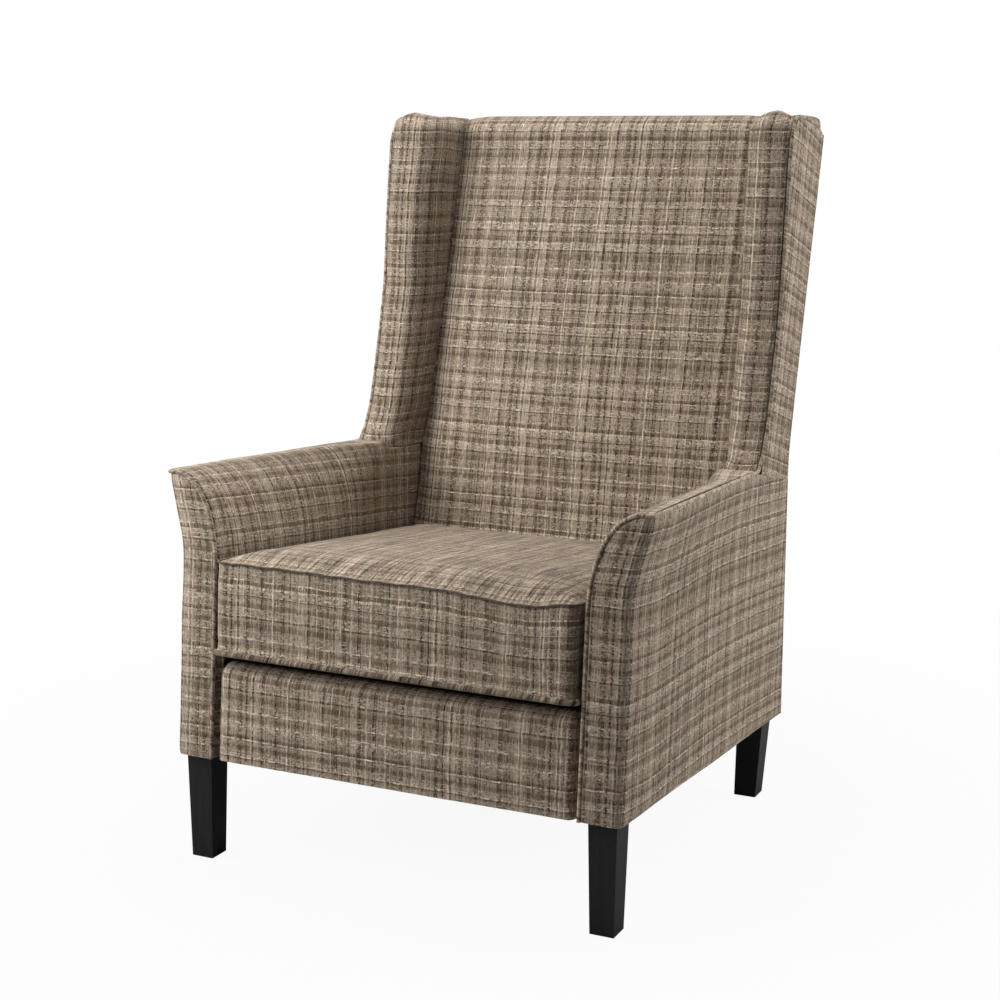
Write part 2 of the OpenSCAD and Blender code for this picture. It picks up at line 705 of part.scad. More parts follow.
function facing_in_x(level) = let (b = arm_roll_h, up = (level - (arm_h - b)) / (b - facing_edge))
    up <= 0 ? arm_in_x + facing_edge
    : arm_in_x + roll_a(0) - (roll_a(0) - facing_edge) * sqrt(max(0, 1 - up * up));
function outside_line(level) = let (fy = facing_y(level), x0 = facing_in_x(level),
    x1 = arm_out_x(level, fy) - corner_r)
    concat([for (i = [0:3]) [mix(x0, x1, i / 3), fy]],
        [for (i = [1:corner_steps]) let (w = 90 * i / corner_steps)
            [x1 + corner_r * sin(w), fy + corner_r * (1 - cos(w))]],
        [for (y = [mix(facing_lean, arm_end_y, 0.5), arm_end_y, body_d - cover_t - gap])
            [arm_out_x(level, y), y]]);

module outside_arm_cover(right) {
    color("#8d8173") place() mirrored_if(right) loft([for (s = outside_shares)
        let (level = mix(front_leg_h, arm_h - facing_edge - gap, s), line = outside_line(level))
            [for (p = concat(line, flipped(aside(line, -cover_t)))) [p[0], p[1], fall(level, p[1])]]], true);
}

module left_outside_arm_cover() { outside_arm_cover(false); }
module right_outside_arm_cover() { outside_arm_cover(true); }

// Arm welt: up the inner edge of the facing, over the top, and back to the wing
module arm_welt(right) {
    r = welt_r;
    inner = concat([for (s = [0, 0.33, 0.66]) [arm_in_x + r, mix(front_leg_h, arm_h - arm_roll_h, s)]],
        roll_curve(arm_in_x, roll_a(0), arm_roll_h, arm_h, r), [[arm_tip_x(0) - 3 * r, arm_h - r]]);
    side = [for (s = [0, 0.25, 0.5, 0.75, 1]) let (y = mix(facing_lean + 3 * r, arm_end_y, s))
        [arm_tip_x(y) - r, y, fall(arm_h - r, y)]];
    color("#7d7265") place() mirrored_if(right) cord(concat(
        [for (p = inner) [p[0], facing_y(p[1]) + r, fall(p[1], facing_y(p[1]))]], side), r);
}

module left_arm_welt() { arm_welt(false); }
module right_arm_welt() { arm_welt(true); }

// Wings. A level ring runs from the welt over the padded front edge, back along
// the inside to the crease with the inside back, and round behind the pad.
wing_foot_level = arm_h - wing_sink + gap;
wing_side = 40;
wing_round = 30;
wing_top = back_h - 3;
wing_steps = 5;
wing_open_z = back_h - 100;
wing_shares = [0.04, 0.1, 0.18, 0.28, 0.4, 0.52, 0.64, 0.76];
wing_round_shares = [0, 0.25, 0.5, 0.7, 0.87, 1];
arm_clear = 2 * gap;

function wing_ring(z, e, foot, d) = let (
    front = foot ? arm_end_y + arm_clear : wing_y(z),
    bulge = foot ? 0 : wing_bulge,
    in_x = crease_x(z) + e + d,
    out_x = half_w - e - d,
    mid_x = (in_x + out_x) / 2,
    a = (out_x - in_x) / 2,
    lip = front - bulge + e + d,
    back = z > wing_open_z ? rear_y(z) - cover_t - gap - e : web_y(z) - strap_t - gap)
    concat(
        [for (i = [0:wing_steps]) let (w = 90 * i / wing_steps)
            [mid_x + a * cos(w), lip + bulge * (1 - sin(w))]],
        [for (i = [1:wing_steps]) let (w = 90 * i / wing_steps)
            [mid_x - a * sin(w), lip + (bulge + wing_side - e - d) * (1 - cos(w))]],
        [[in_x, mix(front + wing_side, back, 0.5)], [in_x, back], [out_x, back]]);

function wing_rings(d) = concat(
    [for (level = [wing_foot_level, arm_h + gap]) let (ring = wing_ring(fall(level, body_d), 0, true, d))
        [for (p = ring) [p[0], p[1], fall(level, p[1])]]],
    [for (s = wing_shares) let (z = mix(wing_low_z, back_h, s)) level_ring(wing_ring(z, 0, false, d), z)],
    [for (z = [wing_open_z, wing_open_z + wing_side / 2]) level_ring(wing_ring(z, 0, false, d), z)],
    [for (s = wing_round_shares) let (z = wing_top - d - wing_round * (1 - s))
        level_ring(wing_ring(z, wing_round * (1 - sqrt(1 - s * s)), false, d), z)]);
function level_ring(points, z) = [for (p = points) [p[0], p[1], z]];

module wing_trim() {
    translate([half_w - 2 * welt_r - gap, -overrun, 0]) cube([overrun, body_w * 2, back_h + overrun]);
}

module wing_frame_space() {
    g = gap;
    translate([frame_in_x - g, wing_y(wing_low_z), 0]) cube([overrun, body_d, wing_board_top + g]);
    top_rail_space();
}

module top_rail_space() {
    g = gap;
    translate([0, 0, g]) yz_prism([[web_y(bend_h) - g, bend_h], [rear_y(bend_h), bend_h],
        [rear_y(top_rail_top), top_rail_top], [web_y(top_rail_top) - g, top_rail_top]],
        crease_top_x - overrun, frame_in_x);
}

module inside_wing_cover(right) {
    color("#8d8173") place() mirrored_if(right) difference() {
        loft(wing_rings(0));
        translate([0, 0, -overrun]) loft_drop(wing_rings(cover_t));
        top_rail_space();
        wing_trim();
    }
}

// The same loft with its foot carried down, to cut clean through the open end
module loft_drop(rings) {
    translate([0, 0, overrun]) loft(concat([[for (p = rings[0]) [p[0], p[1], p[2] - overrun]]], rings));
}

module left_inside_wing_cover() { inside_wing_cover(false); }
module right_inside_wing_cover() { inside_wing_cover(true); }

module wing_pad(right) {
    color("white") place() mirrored_if(right) difference() {
        loft(wing_rings(cover_t + gap));
        wing_frame_space();
        wing_trim();
    }
}

module left_wing_pad() { wing_pad(false); }
module right_wing_pad() { wing_pad(true); }

module outside_wing_cover(right) {
    edge = [for (s = concat(wing_shares, [0.9, 0.97]))
        let (z = mix(wing_low_z, back_h, s)) [wing_y(z) + 2 * welt_r + gap, z]];
    foot = arm_h + gap;
    rear = body_d - cover_t - gap;
    peak = mix(wing_top_y, rear_y(outside_back_h), 0.5);
    color("#8d8173") place() mirrored_if(right) yz_prism(concat(
        [[wing_low_y + 2 * welt_r + gap, fall(foot, wing_low_y)]], edge,
        [[wing_top_y + wing_round, wing_top - welt_r], [peak, wing_top],
            [rear_y(outside_back_h) - cover_t - gap, outside_back_h],
            [rear_y(bend_h) - cover_t - gap, bend_h], [rear, fall(foot, rear)]]), frame_x, half_w);
}

module left_outside_wing_cover() { outside_wing_cover(false); }
module right_outside_wing_cover() { outside_wing_cover(true); }

module wing_welt(right) {
    r = welt_r;
    edge = [for (s = concat([0], wing_shares, [0.9, 0.96]))
        let (z = mix(wing_low_z, back_h, s) + 2 * r + gap) [half_w - r, wing_y(z) + r, z]];
    color("#7d7265") place() mirrored_if(right) cord(edge, r);
}

module left_wing_welt() { wing_welt(false); }
module right_wing_welt() { wing_welt(true); }

// Inside back: sections from front to back at shares of the half width, crowned
// forward at the middle, rolled over the top rail, and tucked down to the deck
back_shares = [-1, -0.85, -0.65, -0.42, -0.2, 0, 0.2, 0.42, 0.65, 0.85, 1];
back_height_shares = [0, 0.12, 0.24, 0.36, 0.48, 0.6, 0.72, 0.84, 0.93, 1];
back_round = 45;
back_round_steps = 4;
crown_rise = 250;
back_foot_z = deck_z(back_seat_y - (seat_line_h - deck_z(back_seat_y)) * tan(inside_rake)) + gap;

function crown_at(u, z) = back_crown * (1 - u * u) * smooth((z - seat_line_h) / crown_rise)
    * mix(1, 0.5, smooth((z - (back_h - crown_rise)) / crown_rise));
function back_section(u) = let (top = back_h - back_round,
    f = inside_y(top) - crown_at(u, top), rear = rear_y(outside_back_h) - cover_t - gap)
    concat(
        [for (s = back_height_shares) let (z = mix(back_foot_z, top, s)) [inside_y(z) - crown_at(u, z), z]],
        [for (i = [1:back_round_steps]) let (w = 90 * i / back_round_steps)
            [f + back_round * (1 - cos(w)), top + back_round * sin(w)]],
        [[mix(f + back_round, rear, 0.6), back_h - cover_t], [rear, outside_back_h + cover_t]]);
function back_ring(u, points) = [for (p = points) [u * (crease_x(p[1]) - gap), p[0], p[1]]];

module inside_back_cover() {
    color("#8d8173") place() loft([for (u = back_shares) let (s = back_section(u))
        back_ring(u, concat(s, flipped(aside(s, cover_t))))], true);
}

module inside_back_pad() {
    ledge = top_rail_top + gap;
    rear = rear_y(outside_back_h) - 2 * cover_t - gap;
    front = web_y(ledge) - strap_t - gap;
    foot = deck_z(deck_back_y) + gap;
    color("white") place() loft([for (u = back_shares)
        back_ring(u, concat(aside(back_section(u), cover_t + gap),
            [[rear, ledge], [front, ledge], [deck_back_y - gap, foot]]))],
        hub = len(back_section(0)) + 1);
}

module outside_back_cover() {
    line = [[body_d, fall(front_leg_h, body_d)], [body_d, bend_h], [rear_y(outside_back_h), outside_back_h]];
    color("#8d8173") place() yz_prism(concat(line,
        flipped([for (p = line) [p[0] - cover_t, p[1]]])), -half_w, half_w);
}

// Seat cushion, in the platform's own directions: x across, s back along the
// platform, t up from it. Rings are [t, inset] from the belly to the crown.
cushion_front = 3;
cushion_half = arm_in_x - cushion_side_gap;
front_corner_r = 28;
rear_corner_r = 18;
seam_low = 10;
seam_dip = 3;
piping_r = 2.5;
low_piping_r = 4;
cushion_rear = (back_seat_y - (seat_line_h - deck_z(back_seat_y)) * tan(inside_rake)) / cos(deck_pitch)
    - cushion_back_gap;
side_steps = 5;
arc_steps = 3;
crown_shares = [[0.2, 10], [0.5, 45], [0.8, 110], [1, 190]];
cushion_rings = concat([[gap, 5 * seam_dip], [seam_low / 2, 2 * seam_dip], [seam_low, seam_dip],
    [2.4 * seam_low, 0], [cushion_t / 2, 0], [cushion_t - 2.4 * seam_low, 0], [cushion_t, seam_dip]],
    [for (c = crown_shares) [cushion_t + c[0] * cushion_crown, c[1]]]);

function rear_s(t) = cushion_rear + t * tan(inside_rake - deck_pitch);
function deck_point(x, s, t) = [x, s * cos(deck_pitch) + t * sin(deck_pitch),
    deck_h - s * sin(deck_pitch) + t * cos(deck_pitch)];
function arc_points(cx, cs, r, from) = [for (i = [0:arc_steps])
    let (w = from + 90 * i / arc_steps) [cx + r * cos(w), cs + r * sin(w)]];
function between(a, b, pull) = [for (i = [1:side_steps])
    let (s = i / (side_steps + 1)) mix(a, b, s) - [pull * sin(180 * s), 0]];
function cushion_outline(t, inset) = let (h = cushion_half - inset,
    f = cushion_front + inset, b = rear_s(t) - inset,
    r1 = max(seam_dip, front_corner_r - inset), r2 = max(seam_dip, rear_corner_r - inset))
    concat(arc_points(h - r1, f + r1, r1, -90), between([h, f + r1], [h, b - r2], cushion_draw),
        arc_points(h - r2, b - r2, r2, 0), between([h - r2, b], [r2 - h, b], 0),
        arc_points(r2 - h, b - r2, r2, 90), between([-h, b - r2], [-h, f + r1], -cushion_draw),
        arc_points(r1 - h, f + r1, r1, 180), between([r1 - h, f], [h - r1, f], 0));
function cushion_loft(d) = [for (c = cushion_rings)
    let (t = c[0] + (c[0] < cushion_t / 2 ? d : c[0] > cushion_t / 2 ? -d : 0))
    [for (p = cushion_outline(t, c[1] + d)) deck_point(p[0], p[1], t)]];

// The zip's own directions: x along it, y out of the cushion's back, z up the face
zip_slot = 5;
zip_t = cushion_t / 2;
module on_zip() {
    translate(deck_point(0, rear_s(zip_t), zip_t)) rotate([-inside_rake, 0, 0]) children();
}

module cushion_core() { color("lightyellow") place() loft(cushion_loft(cover_t + gap)); }

module cushion_cover() {
    color("#9b8b7d") place() difference() {
        loft(cushion_loft(0));
        loft(cushion_loft(cover_t));
        on_zip() translate([-zip_len / 2, -2 * cover_t, -zip_slot])
            cube([zip_len, 4 * cover_t, 2 * zip_slot]);
    }
}

module cushion_piping() {
    color("#7d7265") place() {
        cord_loop([for (p = cushion_outline(cushion_t, 0)) deck_point(p[0], p[1], cushion_t)], piping_r);
        cord_loop([for (p = cushion_outline(seam_low, -seam_dip / 2)) deck_point(p[0], p[1], seam_low)],
            low_piping_r);
    }
}

// Zip: two tapes with a row of teeth each, a slider round the teeth, and its pull
tape_w = 15;
tape_t = 0.6;
teeth_w = 2.4;
teeth_t = 2.2;
slit = 1.6;
stop_l = 3;
zip_mid = gap + tape_t / 2;
plate_t = 1.2;
slider_l = 9;
slider_w = 8.4;
slider_gap = 0.2;
bridge_w = 1;
bridge_l = 4;
lug_t = 1;
lug_w = 1.4;
lug_l = 6.2;
lug_rise = 1.2;
pull_w = 3.6;
pull_t = 0.6;
pull_l = 22;
pull_head = 2;
zip_half = zip_len / 2 - 2 * stop_l;

module zip_tapes() {
    color("#4a443c") place() on_zip() {
        for (m = [0, 1]) mirror([0, 0, m]) {
            translate([-zip_len / 2, zip_mid - tape_t / 2, slit / 2]) cube([zip_len, tape_t, tape_w]);
            translate([-zip_half, zip_mid - teeth_t / 2, slit / 2]) cube([2 * zip_half, teeth_t, teeth_w]);
        }
        for (x = [-zip_half - stop_l, zip_half])
            translate([x, zip_mid - teeth_t / 2, -teeth_w]) cube([stop_l, teeth_t, 2 * teeth_w]);
    }
}

slider_x = zip_half - slider_l - gap;
module zip_slider() {
    half = teeth_t / 2 + slider_gap;
    top = zip_mid + half + plate_t;
    mid = slider_x + slider_l / 2;
    color("silver") place() on_zip() {
        for (y = [zip_mid - half - plate_t, zip_mid + half])
            translate([slider_x, y, -slider_w / 2]) cube([slider_l, plate_t, slider_w]);
        translate([slider_x, zip_mid - half, -bridge_w / 2]) cube([bridge_l, 2 * half, bridge_w]);
        for (x = [mid - lug_l / 2, mid + lug_l / 2 - lug_t])
            translate([x, top, -lug_w / 2]) cube([lug_t, lug_rise, lug_w]);
        translate([mid - lug_l / 2, top + lug_rise, -lug_w / 2]) cube([lug_l, lug_t, lug_w]);
    }
}

module zip_pull() {
    y = zip_mid + teeth_t / 2 + slider_gap + plate_t + (lug_rise - pull_t) / 2;
    mid = slider_x + slider_l / 2;
    color("silver") place() on_zip() {
        translate([mid - pull_w / 2, y, -pull_l]) cube([pull_w, pull_t, pull_l + lug_w]);
        translate([mid - lug_l / 2, y, lug_w]) cube([lug_l, pull_t, pull_head]);
    }
}

// Middle of the chair's depth, from the foremost piping to the rear top edge
front_most = deck_point(0, cushion_front - seam_dip / 2, seam_low)[1] - low_piping_r;
mid_y = (min(0, front_most) + rear_y(outside_back_h)) / 2;

front_rail();
rear_rail();
left_side_rail();
right_side_rail();
leg_blocks();
left_arm_post();
right_arm_post();
left_arm_rail();
right_arm_rail();
left_facing_board();
right_facing_board();
left_back_post();
right_back_post();
left_wing_board();
right_wing_board();
top_back_rail();
lower_back_rail();
seat_springs();
spring_clips();
back_webbing();
insulator_cloth();
deck_pad();
deck_cover();
border_pad();
border_cover();
inside_back_pad();
inside_back_cover();
outside_back_cover();
left_arm_pad();
right_arm_pad();
left_inside_arm_cover();
right_inside_arm_cover();
left_outside_arm_cover();
right_outside_arm_cover();
left_arm_welt();
right_arm_welt();
left_wing_pad();
right_wing_pad();
left_inside_wing_cover();
right_inside_wing_cover();
left_outside_wing_cover();
right_outside_wing_cover();
left_wing_welt();
right_wing_welt();
dust_cover();
front_left_leg();
front_right_leg();
rear_left_leg();
rear_right_leg();
glides();
leg_bolts();
tee_nuts();
block_screws();
cushion_core();
cushion_cover();
cushion_piping();
zip_tapes();
zip_slider();
zip_pull();
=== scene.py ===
import math

import bpy
import numpy as np
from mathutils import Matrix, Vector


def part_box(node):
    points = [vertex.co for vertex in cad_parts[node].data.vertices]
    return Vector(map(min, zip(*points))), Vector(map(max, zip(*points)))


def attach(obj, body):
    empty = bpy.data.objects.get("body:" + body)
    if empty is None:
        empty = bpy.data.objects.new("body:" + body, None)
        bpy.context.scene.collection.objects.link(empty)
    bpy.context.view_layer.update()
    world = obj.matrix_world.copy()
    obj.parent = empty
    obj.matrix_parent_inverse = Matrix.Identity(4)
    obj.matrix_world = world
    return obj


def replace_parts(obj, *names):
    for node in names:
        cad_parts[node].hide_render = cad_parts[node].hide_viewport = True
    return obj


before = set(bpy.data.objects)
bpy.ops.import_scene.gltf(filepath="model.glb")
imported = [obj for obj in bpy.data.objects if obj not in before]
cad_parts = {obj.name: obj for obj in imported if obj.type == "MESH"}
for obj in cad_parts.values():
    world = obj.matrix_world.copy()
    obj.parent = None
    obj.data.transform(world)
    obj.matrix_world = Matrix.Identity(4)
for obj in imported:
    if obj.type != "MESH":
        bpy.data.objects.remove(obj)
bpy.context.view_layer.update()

# Camera: it stands where the photograph was taken from, in front of the chair on the sitter's
# left and at the height of the back's top, and looks down by 11 degrees through a long lens.
lens = bpy.data.cameras.new("camera")
lens.lens = 67.4
lens.sensor_width = 36
camera = bpy.data.objects.new("camera", lens)
camera.location = (1.2892, -2.6948, 1.1076)
camera.rotation_euler = (math.radians(78.958), 0, math.radians(26.013))
bpy.context.scene.collection.objects.link(camera)
bpy.context.scene.camera = camera
bpy.context.scene.view_settings.view_transform = "Standard"


# Stage: a white floor that keeps the chair's soft shadow, a white world, and three soft lights.
# The key light stands in front on the sitter's right, the fill behind on the left, and one hangs above.
class Shade:
    """A number, colour or vector on its way through a material, so that a sum is written as a sum."""

    def __init__(self, tree, socket=None):
        self.tree = tree
        self.socket = socket

    def make(self, kind, settings=None, inputs=None, output=0):
        """Any node: its type, its settings, its inputs by name or number, and which output to go on with."""
        node = self.tree.nodes.new(kind)
        for name, value in (settings or {}).items():
            setattr(node, name, value)
        for name, value in (inputs or {}).items():
            if isinstance(value, Shade):
                self.tree.links.new(value.socket, node.inputs[name])
            else:
                node.inputs[name].default_value = value
        return Shade(self.tree, node.outputs[output])

    def output(self, name):
        return Shade(self.tree, self.socket.node.outputs[name])

    def into(self, socket):
        self.tree.links.new(self.socket, socket)

    def maths(self, operation, *others):
        inputs = {0: self}
        for number, other in enumerate(others):
            inputs[number + 1] = other
        return self.make("ShaderNodeMath", {"operation": operation}, inputs)

    def __add__(self, other):
        return self.maths("ADD", other)

    def __sub__(self, other):
        return self.maths("SUBTRACT", other)

    def __mul__(self, other):
        return self.maths("MULTIPLY", other)

    def __truediv__(self, other):
        return self.maths("DIVIDE", other)

    def mixed(self, other, share, blend="MIX"):
        """This colour mixed with another by a share from 0 to 1: a (1 - share) + b share."""
        settings = {"data_type": "RGBA", "blend_type": blend}
        inputs = {0: share, 6: self, 7: other}
        return self.make("ShaderNodeMix", settings, inputs, 2)

    def ramp(self, stops, steps=False):
        """A colour for this value: stops are (place from 0 to 1, colour)."""
        result = self.make("ShaderNodeValToRGB", inputs={0: self})
        ramp = result.socket.node.color_ramp
        ramp.interpolation = "CONSTANT" if steps else "LINEAR"
        ramp.elements[0].position, ramp.elements[0].color = stops[0]
        ramp.elements[1].position, ramp.elements[1].color = stops[-1]
        for place, colour in stops[1:-1]:
            ramp.elements.new(place).color = colour
        return result


def tone(red, green, blue, light=1.0):
    """A colour seen on a screen (0 to 255 each) as the share of light that it reflects."""
    shares = [((c / 255 + 0.055) / 1.055) ** 2.4 * light for c in (red, green, blue)]
    return (*shares, 1.0)


def new_material(name):
    """A material with only its Principled shader and output, and where to start in its nodes."""
    material = bpy.data.materials.new(name)
    material.use_nodes = True
    return material, material.node_tree.nodes["Principled BSDF"].inputs, Shade(material.node_tree)


floor_material, floor_skin, floor_nodes = new_material("floor")
floor_skin["Roughness"].default_value = 0.9
paper_grain = floor_nodes.make("ShaderNodeTexNoise", inputs={"Scale": 40.0})
grey_stops = [(0, (0.40, 0.40, 0.40, 1)), (1, (0.44, 0.44, 0.44, 1))]
paper_grain.ramp(grey_stops).into(floor_skin["Base Color"])
seen = floor_nodes.make("ShaderNodeLightPath")
from_chair = floor_nodes.make("ShaderNodeTexCoord", output=3)
from_chair = floor_nodes.make("ShaderNodeVectorMath", {"operation": "LENGTH"}, {0: from_chair}, 1)
lift = (from_chair * 0.04 + 0.93).maths("MINIMUM", 1.0)
glow = floor_nodes.make("ShaderNodeEmission", inputs={"Strength": 1.0})
matt = Shade(floor_nodes.tree, floor_nodes.tree.nodes["Principled BSDF"].outputs[0])
floor_look = floor_nodes.make("ShaderNodeMixShader", inputs={0: seen * lift, 1: matt, 2: glow})
floor_look.into(floor_nodes.tree.nodes["Material Output"].inputs[0])
reach = 9
floor_corners = [(-reach, -reach, 0), (reach, -reach, 0), (reach, reach, 0), (-reach, reach, 0)]
floor_mesh = bpy.data.meshes.new("floor")
floor_mesh.from_pydata(floor_corners, [], [(0, 1, 2, 3)])
floor_mesh.materials.append(floor_material)
floor = bpy.data.objects.new("floor", floor_mesh)
bpy.context.scene.collection.objects.link(floor)

world = bpy.data.worlds.new("studio")
world.use_nodes = True
sky = Shade(world.node_tree)
direct = sky.make("ShaderNodeLightPath")
white = (1, 1, 1, 1)
ambient = sky.make("ShaderNodeBackground", inputs={"Color": white, "Strength": 0.055})
backdrop = sky.make("ShaderNodeBackground", inputs={"Color": white, "Strength": 1.0})
both = sky.make("ShaderNodeMixShader", inputs={0: direct, 1: ambient, 2: backdrop})
both.into(world.node_tree.nodes["World Output"].inputs[0])
bpy.context.scene.world = world

for light_name, place, aim, size, power, spread in [
    ("key", (-1.1, -1.1, 1.35), (-0.4, -0.05, 0.65), 1.3, 21, 130),
    ("fill", (2.4, 1.2, 1.3), (0.3, 0.0, 0.5), 1.2, 57, 180),
    ("top", (0.0, 0.25, 2.9), (0.0, 0.0, 0.4), 1.2, 39, 180),
]:
    lamp = bpy.data.lights.new(light_name, "AREA")
    lamp.size = size
    lamp.spread = math.radians(spread)
    lamp.energy = power
    light = bpy.data.objects.new(light_name, lamp)
    light.location = place
    way = np.array(aim) - np.array(place)
    light.rotation_euler = (
        math.acos(-way[2] / np.linalg.norm(way)),
        0,
        math.atan2(way[1], way[0]) - math.pi / 2,
    )
    bpy.context.scene.collection.objects.link(light)


# Frame, springs, webbing, hessian, fixings and zip: the CAD model's own pieces as they are, beech
# and steel that no one sees, each with the material that it is made of.
def plain(name, dark, light, fine, rough=0.9, metal=0.0, stretch=(1, 1, 1), bump=0.2):
    """A material mottled between two colours by noise of fine spots a metre, drawn out by stretch."""
    material, skin, nodes = new_material(name)
    place = nodes.make("ShaderNodeTexCoord", output=3)
    place = nodes.make("ShaderNodeMapping", inputs={0: place, 3: stretch})
    spots = nodes.make("ShaderNodeTexNoise", inputs={"Vector": place, "Scale": fine, "Detail": 4.0})
    spots.ramp([(0.3, dark), (0.7, light)]).into(skin["Base Color"])
    (spots * 0.2 + (rough - 0.1)).into(skin["Roughness"])
    skin["Metallic"].default_value = metal
    bump_inputs = {"Strength": bump, "Distance": 0.0006, "Height": spots}
    nodes.make("ShaderNodeBump", inputs=bump_inputs).into(skin["Normal"])
    return material


beech = (tone(196, 160, 118), tone(222, 190, 148))
timber = plain("beech", *beech, 9.0, 0.6, stretch=(14, 1, 1))
upright_timber = plain("beech_upright", *beech, 9.0, 0.6, stretch=(14, 14, 1))
steel = plain("spring_steel", tone(70, 70, 74), tone(110, 110, 116), 300.0, 0.4, 1.0)
zinc = plain("zinc_steel", tone(176, 178, 182), tone(206, 208, 212), 500.0, 0.35, 1.0)
nickel = plain("zip_metal", tone(176, 170, 156), tone(206, 200, 184), 800.0, 0.3, 1.0)
sacking = plain("hessian", tone(126, 98, 60), tone(186, 156, 108), 450.0, stretch=(1, 0.3, 1), bump=0.6)
elastic = plain("webbing", tone(36, 33, 30), tone(58, 54, 50), 600.0, stretch=(0.2, 1, 1), bump=0.5)
black_plastic = plain("black_plastic", tone(22, 22, 23), tone(34, 34, 35), 400.0, 0.5)
zip_cloth = plain("zip_tape", tone(58, 49, 42), tone(82, 70, 60), 900.0, stretch=(1, 1, 0.3), bump=0.5)
node_looks = [
    (timber, "front_rail rear_rail leg_blocks top_back_rail lower_back_rail"),
    (timber, "left_side_rail right_side_rail left_arm_rail right_arm_rail"),
    (upright_timber, "left_arm_post right_arm_post left_facing_board right_facing_board"),
    (upright_timber, "left_back_post right_back_post left_wing_board right_wing_board"),
    (steel, "seat_springs spring_clips"),
    (zinc, "leg_bolts tee_nuts block_screws"),
    (nickel, "zip_slider zip_pull"),
    (sacking, "insulator_cloth"),
    (elastic, "back_webbing"),
    (black_plastic, "glides"),
    (zip_cloth, "zip_tapes"),
]
for look, names in node_looks:
    for node_name in names.split():
        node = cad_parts[node_name]
        node.data.materials.clear()
        node.data.materials.append(look)

# Legs: square and tapered beech, screwed into blocks in the frame's corners, under a satin lacquer
# that is nearly black and lets a faint grain show.
lacquer, lacquer_skin, lacquer_nodes = new_material("leg_lacquer")
object_place = lacquer_nodes.make("ShaderNodeTexCoord", output=3)
stretched = lacquer_nodes.make("ShaderNodeMapping", inputs={0: object_place, 3: (60.0, 60.0, 3.0)})
grain_inputs = {"Vector": stretched, "Scale": 4.0, "Detail": 4.0}
leg_grain = lacquer_nodes.make("ShaderNodeTexNoise", inputs=grain_inputs)
leg_stops = [(0.3, tone(14, 15, 14)), (0.7, tone(24, 26, 25))]
leg_grain.ramp(leg_stops).into(lacquer_skin["Base Color"])
(leg_grain * 0.12 + 0.36).into(lacquer_skin["Roughness"])
lacquer_skin["Specular IOR Level"].default_value = 0.3
leg_bump = {"Strength": 0.15, "Distance": 0.0006, "Height": leg_grain}
lacquer_nodes.make("ShaderNodeBump", inputs=leg_bump).into(lacquer_skin["Normal"])
for leg_name in ["front_left_leg", "front_right_leg", "rear_left_leg", "rear_right_leg"]:
    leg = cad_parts[leg_name]
    leg.data.materials.clear()
    leg.data.materials.append(lacquer)

# Platform under the cushion: dark cloth over a thin pad on hessian and springs, rolled down at its
# front behind the border and tacked to the rails. Its near black is partly painted shade, standing
# for the shadow in the gap under the cushion's front. Depths y are counted from the body's front edge,
# and s and t run back along the platform, which tilts down to the rear, and up from it.
front = -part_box("left_outside_arm_cover")[0][1]
slope = 0.05256  # fall of the hem and the arms for each metre of depth
pitch = math.radians(6)  # tilt of the platform
deck_rise = 0.331  # its height at the front edge of the body


def at(x, y, z):
    """Points in the frame's axes from x, y counted from the front edge of the body, and z."""
    x, y, z = np.broadcast_arrays(x, y, z)
    return np.stack([x, y - front, z], -1)


def on_deck(x, s, t):
    """Points in the frame's axes from x, s and t: s and t turned by the pitch give y and z."""
    y = s * math.cos(pitch) + t * math.sin(pitch)
    return at(x, y, deck_rise - s * math.sin(pitch) + t * math.cos(pitch))


def add_piece(name, points, quads, places, material, body="root"):
    """Closed mesh of quads, their faces turned outward, with each corner's place in the cloth.
    Its volume is the sum of p0 . (p1 x p2) / 6 over its triangles, and is made positive."""
    a, b, c, d = (points[quads[:, k]] for k in range(4))
    if np.sum(a * (np.cross(b, c) + np.cross(c, d))) < 0:
        quads = quads[:, ::-1]
        places = places[:, ::-1]
    mesh = bpy.data.meshes.new(name)
    mesh.from_pydata(points.tolist(), [], quads.tolist())
    mesh.uv_layers.new(name="cloth").data.foreach_set("uv", places.astype(np.float32).ravel())
    mesh.materials.append(material)
    mesh.shade_smooth()
    mesh.set_sharp_from_angle(angle=math.radians(50))
    piece = bpy.data.objects.new(name, mesh)
    bpy.context.scene.collection.objects.link(piece)
    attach(piece, body)
    return piece


def loft(name, rings, cloth, material, looped=False, body="root", cap=None):
    """Closed mesh through rings of n points: quads between neighbouring rings and points.
    Open ends are zipped up by the quads j, j + 1, n - 2 - j, n - 1 - j, and cap is the last end's cloth."""
    rows, n = rings.shape[:2]
    if cloth.shape[1] == n:
        cloth = np.concatenate([cloth, cloth[:, :1]], 1)
    i = np.arange(rows if looped else rows - 1)[:, None]
    j = np.arange(n)[None]
    up = (i + 1) % rows
    right = (j + 1) % n
    quads = np.stack([i * n + j, i * n + right, up * n + right, up * n + j], -1).reshape(-1, 4)
    places = np.stack([cloth[i, j], cloth[i, j + 1], cloth[i + 1, j + 1], cloth[i + 1, j]], 2)
    places = places.reshape(-1, 4, 2)
    if not looped:
        k = np.arange(n // 2 - 1)
        zips = np.stack([k, k + 1, n - 2 - k, n - 1 - k], -1)
        last = (rows - 1) * n
        quads = np.concatenate([quads, zips[:, ::-1], zips + last])
        cap = cloth[-1] if cap is None else cap
        places = np.concatenate([places, cloth[0][zips[:, ::-1]], cap[zips]])
    return add_piece(name, rings.reshape(-1, 3), quads, places, material, body)


def backed(face, back):
    """Rings that go along a piece's face and return along its back."""
    return np.concatenate([face, back[:, ::-1]], 1)
